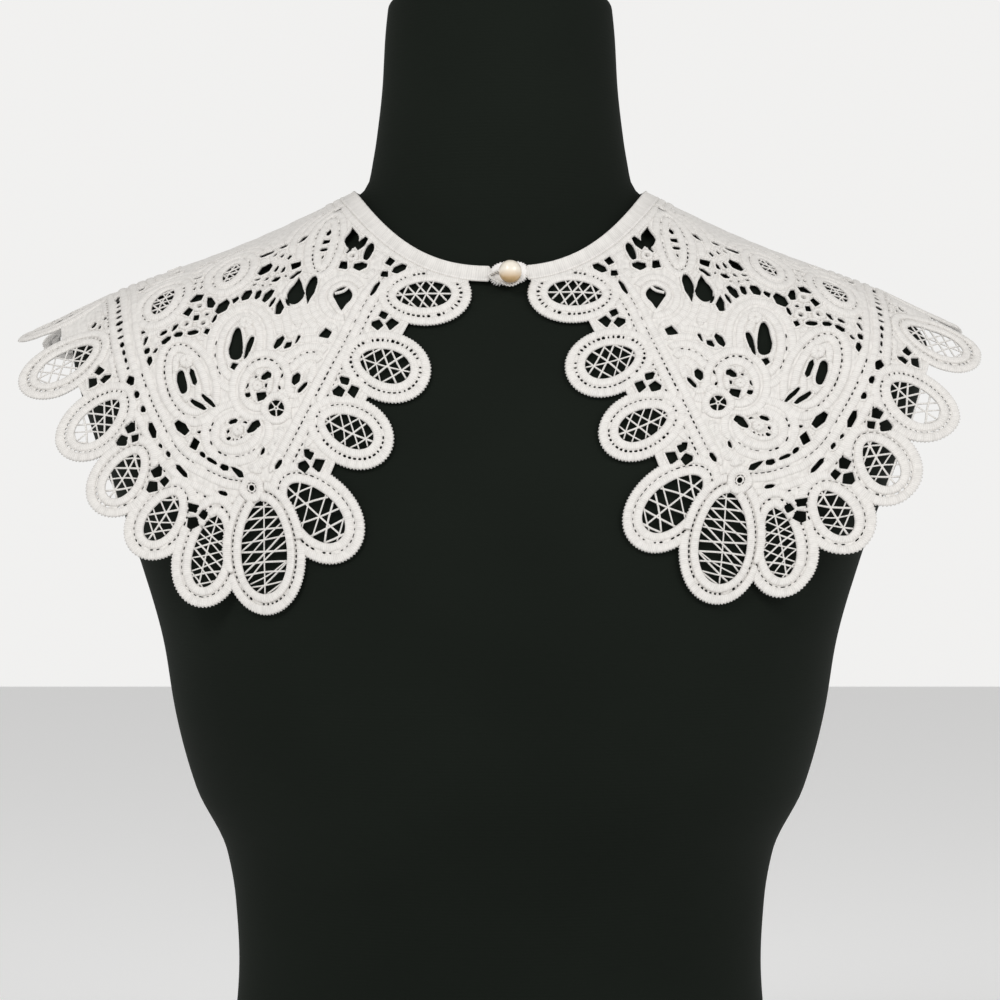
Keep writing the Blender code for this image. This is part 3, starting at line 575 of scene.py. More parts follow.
@dataclass
class GapMap:
    """The pattern's open places on a fine grid, so that bands can keep clear of them."""

    outlines: list[Flat]             # the gaps' edges
    cell: float = 0.25               # width of the grid's squares
    low: tuple[float, float] = (-6.0, -190.0)    # the grid's lowest across and down
    span: tuple[int, int] = (276, 460)

    def __post_init__(self) -> None:
        """Marks every gap."""
        self.open = np.zeros([int(span / self.cell) for span in self.span], bool)
        for outline in self.outlines:
            self.mark(np.asarray(outline, float))

    def mark(self, outline: Flat) -> None:
        """Marks the squares within one outline.

        Args:
            outline: The edge of a gap.
        """
        first = np.maximum(np.floor((outline.min(axis=0) - self.low) / self.cell).astype(int), 0)
        last = np.ceil((outline.max(axis=0) - self.low) / self.cell).astype(int) + 1
        last = np.minimum(last, self.open.shape)
        x, y = (self.low[k] + (np.arange(first[k], last[k]) + 0.5) * self.cell for k in (0, 1))
        x, y = np.meshgrid(x, y, indexing="ij")
        inside = np.zeros(x.shape, bool)
        for a, b in zip(outline, np.roll(outline, -1, axis=0)):
            crosses = (a[1] > y) != (b[1] > y)
            inside ^= crosses & (x < (b[0] - a[0]) * (y - a[1]) / (b[1] - a[1] + 1e-9) + a[0])
        self.open[first[0]:last[0], first[1]:last[1]] |= inside

    def at(self, places: Flat) -> np.ndarray:
        """Whether places are open."""
        cells = np.floor((places - self.low) / self.cell).astype(int)
        return self.open[tuple(np.clip(cells, 0, np.array(self.open.shape) - 1).T)].T

    def room(self, middle: Flat, beside: Flat, reach: float) -> np.ndarray:
        """How far a band may reach to one side before it meets a gap.

        Args:
            middle: Places along the band's middle.
            beside: Unit directions to that side.
            reach: The most that it needs.

        Returns:
            The free widths, evened out along the band.
        """
        least = 0.2
        steps = np.arange(0, reach + self.cell, self.cell)
        shut = self.at(middle[:, None] + beside[:, None] * steps[:, None])
        free = np.where(shut.any(axis=1), shut.argmax(axis=1) * self.cell, reach)
        free = np.clip(free, least, reach)
        padded = np.pad(free, 1, mode="edge")
        free = np.minimum(np.minimum(padded[:-2], padded[2:]), free)
        padded = np.pad(free, 1, mode="edge")
        return (padded[:-2] + padded[2:] + 2 * free) / 4


# ---------------- stitched meshes
# a padded band's corners, as shares of half its width and of its height
SATIN_SECTION = ((-1.0, 0.36), (-0.82, 0.81), (-0.4, 1.0), (0.4, 1.0), (0.82, 0.81), (1.0, 0.36),
                 (0.8, 0.0), (-0.8, 0.0))
SHORTEST = 1.0               # a shorter stretch of a band is left out


@dataclass(frozen=True)
class Profile:
    """Cross-section of a band or cord: places across it and above the lace's inner face."""

    across: tuple[float, ...]
    height: tuple[float, ...]
    picot: float = 0.0               # how far the teeth of its far edge stand out
    picot_pitch: float = 1.4

    @classmethod
    def satin(cls, width: float, height: float = 1.5, picot: float = 0.0) -> "Profile":
        """A padded satin-stitched band, of a width and a height at its middle."""
        return cls(tuple(width / 2 * a for a, _ in SATIN_SECTION),
                   tuple(height * r for _, r in SATIN_SECTION), picot)

    @classmethod
    def cord(cls, width: float, middle: float, sides: int = 6) -> "Profile":
        """A round thread, of a width and with its middle at a height."""
        t = np.radians(180 - 360 * np.arange(sides) / sides)
        return cls(tuple(width / 2 * np.cos(t)), tuple(middle + width / 2 * np.sin(t)))


@dataclass
class Stitching:
    """Collects swept bands and cords and turns them into one piece."""

    surface: CollarSurface
    side: int = 1                    # 1 for the half with the tab, -1 for its mirror image
    gaps: GapMap | None = None       # open places that its bands leave free
    verts: list[np.ndarray] = field(default_factory=list)
    faces: list[list[int]] = field(default_factory=list)
    uvs: list[tuple[float, float]] = field(default_factory=list)
    count: int = 0

    def sweep(self, line: Line, profile: Profile, step: float = 1.2, lift: float = 0.0,
              taper: float = 0.0, keep: Callable[[Flat], np.ndarray] | None = None) -> None:
        """Lays one band along a line.

        Args:
            line: Its middle.
            profile: Its cross-section.
            step: Length between its sections.
            lift: How much higher than usual it lies.
            taper: Length over which open ends narrow.
            keep: Tells for each point whether the band runs there.
        """
        parts = [line]
        if keep is not None:
            parts = line.kept(keep)
        elif self.gaps is not None:
            parts = line.kept(lambda places: ~self.gaps.at(places), 0.5)
        if keep is not None or parts != [line]:
            for part in parts:
                self.sweep(part, profile, step, lift, taper)
            return
        if line.length < SHORTEST:
            return
        if profile.picot:
            step = profile.picot_pitch / 2
        along = line.stations(step)
        if profile.picot and line.closed and len(along) % 2:
            along = np.linspace(0, line.length, len(along) + 1, endpoint=False)
        middle, beside = line.at(along), line.beside(along)
        across = np.tile(np.array(profile.across), (len(along), 1))
        if self.gaps is not None:
            reach = max(profile.across)
            right = self.gaps.room(middle, beside, reach)[:, None] / reach
            left = self.gaps.room(middle, -beside, reach)[:, None] / reach
            across *= np.where(across > 0, right, left)
        if profile.picot:
            outer = np.array(profile.across) > 0.95 * max(profile.across)
            across[::2, outer] += profile.picot
            across[1::2, outer] -= profile.picot * 0.5
        height = np.tile(np.array(profile.height), (len(along), 1)) + lift
        if taper and not line.closed:
            tip = 0.35               # the ends' width as a share
            ends = np.minimum(along, line.length - along) / taper
            across *= np.clip(tip + (1 - tip) * np.sqrt(np.clip(ends, 0, 1)), 0, 1)[:, None]
        flat = middle[:, None, :] + beside[:, None, :] * across[..., None]
        flat[..., 0] *= self.side
        self.loft(self.surface.lifted(flat, height), along, line.length, line.closed)

    def loft(self, world: np.ndarray, along: np.ndarray, length: float, closed: bool) -> None:
        """Joins sections with faces.

        Args:
            world: Sections by points, in millimetres.
            along: Length at each section.
            length: The whole length.
            closed: Whether the last section joins the first.
        """
        rows, columns = world.shape[:2]
        girth = running(np.linalg.norm(np.roll(world[0], -1, axis=0) - world[0], axis=1))
        ends = np.append(along[1:], length) if closed else along[1:]
        for i in range(rows if closed else rows - 1):
            here, there = self.count + i * columns, self.count + (i + 1) % rows * columns
            u, v = float(along[i]), float(ends[i])
            for j in range(columns):
                k = (j + 1) % columns
                quad = [here + j, here + k, there + k, there + j]
                corner = [(u, girth[j]), (u, girth[j + 1]), (v, girth[j + 1]), (v, girth[j])]
                if self.side > 0:
                    quad.reverse()
                    corner.reverse()
                self.faces.append(quad)
                self.uvs.extend(corner)
        if not closed:
            for start, flip in ((self.count, False), (self.count + (rows - 1) * columns, True)):
                cap = list(range(start, start + columns))
                if flip == (self.side > 0):
                    cap.reverse()
                self.faces.append(cap)
                self.uvs.extend([(0.0, 0.0)] * columns)
        self.verts.append(world.reshape(-1, 3))
        self.count += rows * columns

    def piece(self, name: str, material: bpy.types.Material) -> bpy.types.Object:
        """The collected bands as one object, placed in the scene."""
        return placed(name, np.vstack(self.verts), self.faces, material, np.array(self.uvs, float))


def placed(name: str, verts: np.ndarray, faces: list, material: bpy.types.Material,
           uvs: np.ndarray | None = None) -> bpy.types.Object:
    """Puts a mesh in the scene, shaded smooth.

    Args:
        name: Its name.
        verts: Its points, in millimetres.
        faces: Its faces, as numbers of points.
        material: Its finish.
        uvs: For each corner of the faces, its place along the stitches, in millimetres.

    Returns:
        The object.
    """
    mesh = bpy.data.meshes.new(name)
    mesh.from_pydata((verts * MM).tolist(), [], faces)
    if uvs is not None:
        mesh.uv_layers.new(name="stitches").data.foreach_set("uv", (uvs * MM).ravel())
    mesh.materials.append(material)
    mesh.shade_smooth()
    thing = bpy.data.objects.new(name, mesh)
    bpy.context.scene.collection.objects.link(thing)
    LOG.info("%s: %d triangles", name, sum(len(face) - 2 for face in faces))
    return thing


def ring_faces(rings: int, count: int) -> list[tuple[int, int, int, int]]:
    """Faces between rings, of count points each, that lie one above the other."""
    return [(low + i, low + (i + 1) % count, low + count + (i + 1) % count, low + count + i)
            for low in range(0, (rings - 1) * count, count) for i in range(count)]


def stands_for(piece: bpy.types.Object, slot: str, *nodes: str) -> bpy.types.Object:
    """Fastens a piece to the frame.

    Args:
        piece: The piece.
        slot: Not used.
        nodes: What it stands for.

    Returns:
        The piece.
    """
    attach(piece, BODY)
    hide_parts(*nodes)
    return piece


# ---------------- the pattern
@dataclass(frozen=True)
class Web:
    """Threads crossing a medallion: their angles to its length, and how far apart they lie."""

    angles: tuple[float, ...] = (55.0, 125.0)
    pitch: float = 5.8


CROSSED, SLANTED, STEEP = Web(), Web((128.0, 97.0), 4.8), Web((68.0, 116.0), 6.4)


@dataclass(frozen=True)
class Medallion:
    """A scalloped ring round a web of threads; turn points to its outer end."""

    across: float
    down: float
    length: float
    width: float
    turn: float
    layer: int = 0               # a higher ring lies over the lower ones beside it
    web: Web = CROSSED
    open_work: float = 0.85      # width of the slots between its two bands
    fullness: float = 0.16       # how much fuller its outer end is

    def ring(self) -> Oval:
        """The web's edge."""
        return Oval(self.across, self.down, self.length, self.width, self.turn, self.fullness)

    def rungs(self) -> "Ladder":
        """The slots between its two bands; wide ones are shorter and closer."""
        return Ladder(self.open_work) if self.open_work < 1 else Ladder(self.open_work, 1.5, 2.3)


FRONT_MEDALLIONS = (
    Medallion(34.2, 106.2, 25.6, 13.0, 190, 0, CROSSED, 1.8),
    Medallion(50.1, 143.0, 23.0, 15.5, 168, 0, CROSSED, 1.7),
    Medallion(65.0, 174.6, 22.5, 13.6, 161, 0, CROSSED, 1.2),
    Medallion(80.4, 211.3, 32.0, 18.5, 140, 0, STEEP),
    Medallion(105.1, 228.6, 40.0, 23.2, 91, 2, SLANTED, 1.1),
    Medallion(131.8, 231.8, 33.0, 14.0, 78, 1, Web((58.0, 122.0), 4.6)),
    Medallion(153.6, 217.2, 23.0, 12.0, 58),
    Medallion(171.9, 197.2, 23.0, 12.4, 58, 1),
    Medallion(185.8, 169.2, 26.0, 14.0, 44, 0, CROSSED, 1.2),
    Medallion(204.4, 135.0, 28.6, 15.0, 27, 1, CROSSED, 1.3))
SHOULDER_MEDALLION_AT = 66.9     # angle of the first medallion of the plain back run
BACK_MEDALLIONS = 7
BACK_OUT = 147.0             # distance out from the neck edge to their middles
BACK_LENGTH = 30.0
BACK_WIDTH = 16.0
RING_MARGIN = 9.0            # from a web's edge to the scalloped edge
BAND_EDGE = 9.0              # outer edge of the neck band, out from the pattern's arc
FIELD_EDGE = BAND_EDGE + SEAM_GAP    # where the lace begins below the neck band
SHOULDER_OVALS = (
    Medallion(130.0, 93.9, 13.6, 6.4, 80, 0, Web(pitch=3.6), 0.8, 0.0),
    Medallion(159.4, 108.9, 16.0, 8.6, 75, 0, Web(pitch=4.0), 0.8, 0.0))

DROP, TRIANGLE, SLOT = Form.DROP, Form.TRIANGLE, Form.SLOT
FIELD_GAPS = tuple(Gap(*row) for row in (
    # corner between the neck band and the front tape
    (51.8, 90.6, 5.5, 5.0, 60, TRIANGLE), (46.6, 93.6, 8.5, 4.6, 32), (53.8, 97.6, 5.0, 4.4, 90),
    (57.5, 105.6, 8.8, 2.2, 65, SLOT),
    # net beside the neck band
    (74.0, 77.0, 13.0, 8.0, 280, DROP), (68.1, 80.6, 9.0, 4.8, 65), (63.6, 85.2, 10.4, 4.4, 78),
    (66.4, 93.4, 7.0, 4.4, 10), (75.4, 92.8, 6.0, 5.4, 270, TRIANGLE), (73.9, 84.9, 3.8, 2.0, 60),
    # leaf with a pointed top
    (86.8, 72.8, 5.0, 2.8, 270, DROP), (87.1, 78.8, 4.8, 3.6, 0, SLOT),
    (86.9, 83.9, 4.0, 2.6, 0, SLOT), (86.6, 88.6, 2.4, 1.3, 90),
    # heart and spade beside the front tape
    (72.7, 111.9, 12.0, 9.4, 92, DROP), (78.9, 130.4, 4.6, 4.2, 20, TRIANGLE),
    (88.9, 108.3, 15.8, 5.4, 88, DROP), (95.7, 108.6, 15.4, 8.4, 272, DROP),
    # net over the flower
    (99.3, 93.2, 6.3, 5.2, 20), (97.9, 99.0, 7.4, 2.8, 52, SLOT), (104.7, 95.2, 4.4, 1.7, 80),
    (108.2, 94.7, 5.2, 1.9, 80), (113.4, 94.3, 8.8, 5.4, 62), (115.0, 83.0, 7.4, 3.0, 25, SLOT),
    (107.0, 101.3, 4.8, 2.8, 40), (111.4, 100.8, 2.8, 1.8, 60), (115.6, 100.8, 2.8, 1.9, 20),
    (102.5, 99.8, 1.7, 1.0, 100), (108.7, 104.7, 1.7, 1.0, -20), (112.6, 104.9, 1.9, 1.2, -10),
    (116.8, 104.1, 2.4, 1.4, 10), (98.8, 115.0, 5.4, 1.6, 118), (102.4, 117.2, 8.4, 4.4, 275, DROP),
    (106.1, 115.0, 6.2, 2.0, 72), (108.9, 111.3, 8.0, 4.2, 68), (113.6, 110.4, 6.2, 2.9, 85, SLOT),
    (119.0, 110.4, 7.2, 4.8, 68), (124.0, 113.0, 5.2, 3.6, 55), (129.4, 116.6, 9.2, 5.8, 62),
    (135.6, 113.6, 8.0, 4.8, 300, DROP), (142.5, 110.0, 7.0, 5.6, 35), (145.6, 118.2, 6.2, 4.6, 60),
    (136.3, 120.3, 2.6, 1.6, 0), (132.0, 122.8, 5.0, 1.9, 80),
    (141.0, 121.8, 4.2, 3.6, 90, TRIANGLE), (134.8, 129.8, 3.9, 3.2, 90, TRIANGLE),
    (141.4, 129.9, 5.6, 2.6, 0, SLOT), (148.2, 130.2, 4.8, 3.2, 0), (150.2, 126.6, 4.6, 1.7, 60),
    (155.2, 128.7, 3.3, 2.1, 30),
    (153.6, 132.6, 5.6, 3.2, 45), (158.8, 137.3, 3.0, 1.8, 45), (163.2, 136.9, 3.4, 2.8, 120),
    (161.6, 142.2, 5.4, 3.4, 95, DROP), (164.2, 131.6, 5.0, 1.8, 80), (165.8, 126.7, 2.8, 1.7, 135),
    (146.2, 94.6, 4.4, 2.2, 12), (98.9, 75.0, 6.0, 2.0, 52), (110.8, 84.2, 3.0, 1.7, 80),
    (107.2, 86.0, 3.0, 1.6, 80), (103.6, 87.4, 2.8, 1.5, 80), (108.6, 78.6, 3.4, 1.8, 20),
    (175.0, 92.8, 6.6, 3.8, 95, DROP), (186.4, 96.4, 7.4, 2.6, 108),
    # petals and scrolls of the flower
    (120.0, 136.9, 15.6, 7.4, 272, TRIANGLE), (114.0, 138.8, 12.0, 3.3, 78, TRIANGLE),
    (120.0, 148.0, 4.2, 4.6, 90, DROP), (100.0, 136.0, 7.6, 3.6, 60), (95.6, 137.0, 4.6, 3.4, 45),
    (91.6, 134.4, 4.6, 1.1, 70), (104.4, 152.4, 5.2, 4.0, 35, TRIANGLE),
    (103.9, 156.8, 2.0, 1.5, 80), (106.4, 161.9, 6.8, 4.6, 15), (112.3, 161.5, 3.0, 2.5, 0),
    (112.8, 157.4, 2.9, 1.1, 65),
    (109.1, 153.2, 1.9, 1.0, 25), (90.3, 153.2, 6.2, 3.8, 68), (87.1, 156.9, 7.0, 2.0, 52),
    (97.0, 152.0, 2.2, 0.9, 70), (97.8, 157.9, 2.3, 1.1, 110), (98.9, 167.1, 7.6, 7.6, 0),
    (139.3, 152.3, 9.0, 2.7, 110, SLOT), (144.9, 154.4, 11.0, 4.6, 105, SLOT),
    (131.6, 163.9, 9.4, 2.0, 138, SLOT), (136.6, 165.6, 9.4, 2.3, 148, SLOT),
    (109.8, 176.0, 8.2, 4.4, 40, TRIANGLE), (119.4, 173.6, 4.6, 2.2, 12),
    (113.6, 174.0, 2.8, 1.0, -15), (122.4, 178.3, 2.4, 1.6, 50), (121.8, 181.2, 2.6, 1.8, 20),
    (119.6, 181.8, 1.7, 0.9, 60),
    (117.8, 181.8, 1.4, 1.1, 0), (115.6, 180.8, 1.6, 1.0, 20), (136.1, 178.2, 1.9, 1.4, 0),
    (145.1, 175.4, 7.8, 4.6, 140), (138.4, 183.6, 5.6, 4.6, 240, TRIANGLE),
    (105.2, 186.6, 3.4, 1.5, 65), (97.6, 192.0, 5.6, 2.2, 52),
    (84.2, 186.0, 4.2, 3.8, 90, TRIANGLE),
    # chain along the inner side of the shoulder tape
    (118.2, 196.0, 7.6, 3.6, 325, DROP), (124.2, 194.2, 4.6, 3.0, -15),
    (130.4, 191.4, 6.0, 1.9, -28, SLOT), (134.8, 188.6, 3.6, 1.9, -45),
    # eyelet at the corner of the collar
    (111.1, 202.9, 5.0, 5.0, 0),
    # outer side of the shoulder tape
    (125.4, 205.7, 4.6, 2.4, -18, TRIANGLE), (144.8, 195.9, 8.0, 2.3, 132, SLOT),
    (151.2, 187.8, 3.0, 2.0, 125), (155.0, 183.8, 2.6, 1.6, 125),
    (159.2, 176.2, 8.8, 3.2, 108, SLOT), (164.0, 165.6, 3.2, 2.4, 112),
    (167.4, 158.0, 4.0, 2.6, 110), (170.7, 150.6, 5.6, 4.4, 112),
    # beside the ovals and near the neck
    (142.9, 98.8, 2.8, 1.7, 80), (145.9, 99.2, 2.8, 1.7, 80), (142.4, 102.8, 3.0, 1.7, 80),
    (145.4, 103.2, 2.8, 1.6, 80), (193.5, 114.1, 3.4, 1.7, 100),
    (190.2, 116.8, 3.0, 1.6, 100), (188.4, 111.6, 2.6, 1.5, 100),
    (86.8, 55.0, 5.0, 2.4, 30, TRIANGLE),
    # along the ridge of the shoulder
    (133.3, 73.6, 2.8, 2.2, 30), (140.4, 76.8, 5.2, 1.9, 22), (145.6, 79.2, 3.0, 2.4, 20),
    (149.4, 80.4, 2.4, 1.9, 0), (162.0, 79.8, 5.0, 3.4, 320), (171.6, 61.4, 4.0, 3.0, 0),
    (191.0, 62.4, 5.4, 3.4, 320), (202.2, 68.6, 9.0, 2.6, 303)))
BACK_FIELD = tuple(Gap(*row) for row in (
    (0.0, 30.0, 10.0, 7.0, 90, DROP), (10.0, 32.0, 9.0, 5.0, 60), (-10.0, 32.0, 9.0, 5.0, 120),
    (0.0, 62.0, 14.0, 7.4, 90, DROP), (13.0, 66.0, 11.0, 6.0, 45), (-13.0, 66.0, 11.0, 6.0, 135),
    (0.0, 92.0, 12.0, 7.0, 270, DROP), (17.0, 92.0, 9.0, 5.0, 120), (-17.0, 92.0, 9.0, 5.0, 60)))
BACK_FIELD_ANGLES = (82, 116)
LARGE_GAP = 9.0              # a gap longer than this is put out of true as a whole
SMALL_GAP = 3.4              # a shorter one is drawn with more corners and a thinner edge


@dataclass(frozen=True)
class CornerGap:
    """A gap in the corner behind two neighbouring medallions, placed from midway between them."""

    inward: float
    along: float
    size: float
    form: Form
    turn: float


CORNER_GAPS = (CornerGap(6.2, 0.5, 6.0, Form.OVAL, 180), CornerGap(12.0, 4.0, 5.6, Form.OVAL, 40),
               CornerGap(12.2, -1.6, 5.0, TRIANGLE, 0))
CORNER_SPREAD = 1.04         # the stitched gaps are a little larger than the solid's
CLOSED_PAIRS = (3, 4, 9)     # neighbours that overlap and leave no gap behind them


@dataclass(frozen=True)
class Ladder:
    """A row of small slots left between two bands."""

    width: float = 0.85
    length: float = 1.9
    pitch: float = 2.8
    missing: float = 0.1         # share of the slots that the stitches have closed

    def slots(self, line: Line, chance: random.Random) -> list[Flat]:
        """The slots along a line.

        Args:
            line: The line between the bands.
            chance: Source of the slots' small differences.

        Returns:
            Outlines of the slots.
        """
        outlines = []
        count = int(line.length / self.pitch)
        phase = chance.uniform(0, 2 * math.pi)
        for i in range(count):
            middle = (i + 0.5) * line.length / count
            if chance.random() < self.missing:
                continue
            swell = 0.85 + 0.3 * math.sin(2 * math.pi * middle / line.length + phase)
            half = self.length / 2 * chance.uniform(0.55, 1.35)
            side = self.width / 2 * chance.uniform(0.75, 1.1) * swell
            along = middle + half * np.array([-1.0, -0.55, 0.55, 1.0, 0.55, -0.55])
            offset = side * np.array([0.0, 1.0, 1.0, 0.0, -1.0, -1.0])
            outlines.append(line.at(along) + line.beside(along) * offset[:, None])
        return outlines


@dataclass(frozen=True)
class Scroll:
    """A petal or scroll of the flower: bands on both sides of a ladder ring."""

    ring: Oval
    inner: int = 1               # bands within the ring
    outer: int = 1               # bands outside it
    ladder: tuple[float, float] | None = (0.0, 360.0)    # angles that its ladder runs between
    layer: int = 0


@dataclass(frozen=True)
class Tape:
    """Parallel bands along a line, with ladders between some of them."""

    places: tuple[tuple[float, float], ...]
    bands: tuple[float, ...]     # how far each band lies from the line
    ladders: tuple[float, ...]
    width: float = 3.7
    reach: float = 6.7           # how far its bands spread from the line


FRONT_TAPE = Tape(((51.5, 99.5), (60, 115), (66, 131), (75, 153), (85.5, 175.5), (97.5, 198)),
                  (-4.75, 0.0, 4.75), (-2.5, 2.3))
SHOULDER_TAPE = Tape(((115, 203), (128, 200.4), (146.4, 190), (158.3, 171.3), (166, 153.8),
                      (172.6, 132.5), (177, 115), (183, 96), (198.5, 64.5)),
                     (5.0, 0.0, -6.2), (2.6, -8.7), 3.9, 7.4)
CHAIN = Ladder(3.2, 3.3, 4.5, 0.0)      # larger gaps between the shoulder tape's bands
CHAIN_OFFSET = -3.1
CHAIN_TOP = 98.0
CHAIN_END = 147.0            # down: the chain's slots and the tape's inner ladder meet here
NECK_ROW = (FIELD_EDGE + 2.1, 8)     # band below the neck tape: its middle, and where it starts
BACK_ARC = 114.6             # the two bands round the back lie to both sides of this distance out
BACK_ARC_SPREAD = 2.6
BACK_ARC_FROM = 73
SCROLLS = (
    Scroll(Oval(72.7, 111.4, 26.0, 25.0, 90), 1, 0, None),                    # heart
    Scroll(Oval(86.8, 79.5, 36.0, 12.0, 92), 1, 1),                           # leaf
    Scroll(Oval(118.0, 138.4, 37.0, 23.4, 90), 2, 1, (258, 350)),             # upper petal
    Scroll(Oval(142.3, 153.4, 38.0, 21.0, 112, 0.1), 2, 1, (112, 350), 1),    # outer petal
    Scroll(Oval(118.0, 178.6, 27.0, 21.0, 14), 2, 1, (-60, 125)),             # lower petal
    Scroll(Oval(106.8, 157.0, 26.0, 21.0, 75), 2, 1, (135, 245), 1),          # middle lobe
    Scroll(Oval(87.6, 153.6, 30.0, 19.0, 60), 2, 1, (165, 335)))              # inner lobe
SCROLL_BAND_AT = 2.5         # from a scroll's ring to the middle of its first band
BAND_PITCH = 4.1             # from one band to the next
BRIDE = 1.2                  # width of the cords left between neighbouring gaps
WIDE_RIM = (0.62, Profile.satin(1.3, 1.45))    # a gap's corded edge: its middle and its section
NARROW_RIM = (0.4, Profile.satin(0.9, 1.3))
RIMMED_GAPS = (              # gaps with a raised rim, and its width
    (Gap(72.7, 111.9, 12.0, 9.4, 92, DROP), 3.0), (Gap(95.7, 108.6, 15.4, 8.4, 272, DROP), 2.2),
    (Gap(120.0, 136.9, 15.6, 7.4, 272, TRIANGLE), 1.8),
    (Gap(144.9, 154.4, 11.0, 4.6, 105, SLOT), 1.6))
KNOTS = (                    # across, down, radius and hole's radius
    (71.2, 88.8, 3.2, 1.0), (140.0, 115.9, 3.2, 0.9), (136.8, 125.7, 3.2, 1.0),
    (145.0, 125.4, 3.4, 1.2), (117.0, 177.4, 2.9, 0.0), (116.6, 126.2, 3.4, 0.0),
    (142.8, 144.4, 3.4, 0.0), (107.9, 157.4, 2.6, 0.0), (96.0, 161.0, 2.8, 0.0),
    (108.4, 99.0, 2.0, 0.0))
HEART_CORD = ((76.8, 109.8), (72.8, 108.3), (70.2, 105.4))   # crosses the top of the heart's gap


@dataclass(frozen=True)
class Eyelet:
    """A round hole crossed by spokes, within a raised ring."""

    across: float
    down: float
    radius: float
    spokes: int
    hub: float                   # radius of the cord ring that the spokes start from
    band: float = 3.6            # width of the raised ring

    def ring(self, radius: float) -> Oval:
        """A circle round its middle."""
        return Oval.round(self.across, self.down, radius)


EYELETS = (Eyelet(111.1, 202.9, 2.9, 7, 1.7), Eyelet(98.9, 167.1, 3.9, 5, 0.8))


@dataclass(frozen=True)
class Motif:
    """Something in the field that further rows of bands run round."""

    line: Line
    reach: float                 # how far its own bands spread from the line
    rows: int = 0
    ring: Oval | None = None

    def distance(self, places: Flat) -> np.ndarray:
        """How far places lie beyond its own bands.

        Args:
            places: The places.

        Returns:
            The distances, less than nought within it.
        """
        spots = self.line.at(self.line.stations(1.5))
        away = np.linalg.norm(places[:, None] - spots[None], axis=2).min(axis=1) - self.reach
        return away if self.ring is None else np.where(self.ring.holds(places), -1.0, away)

    def row(self, number: int) -> list[Line]:
        """The middles of one of its further bands.

        Args:
            number: Which band, counted outwards from 0.

        Returns:
            One line round a ring, two beside a line.
        """
        out = self.reach + (number + 0.5) * BAND_PITCH
        if self.ring is not None:
            return [self.ring.line(out)]
        return [self.line.shifted(out), self.line.shifted(-out)]


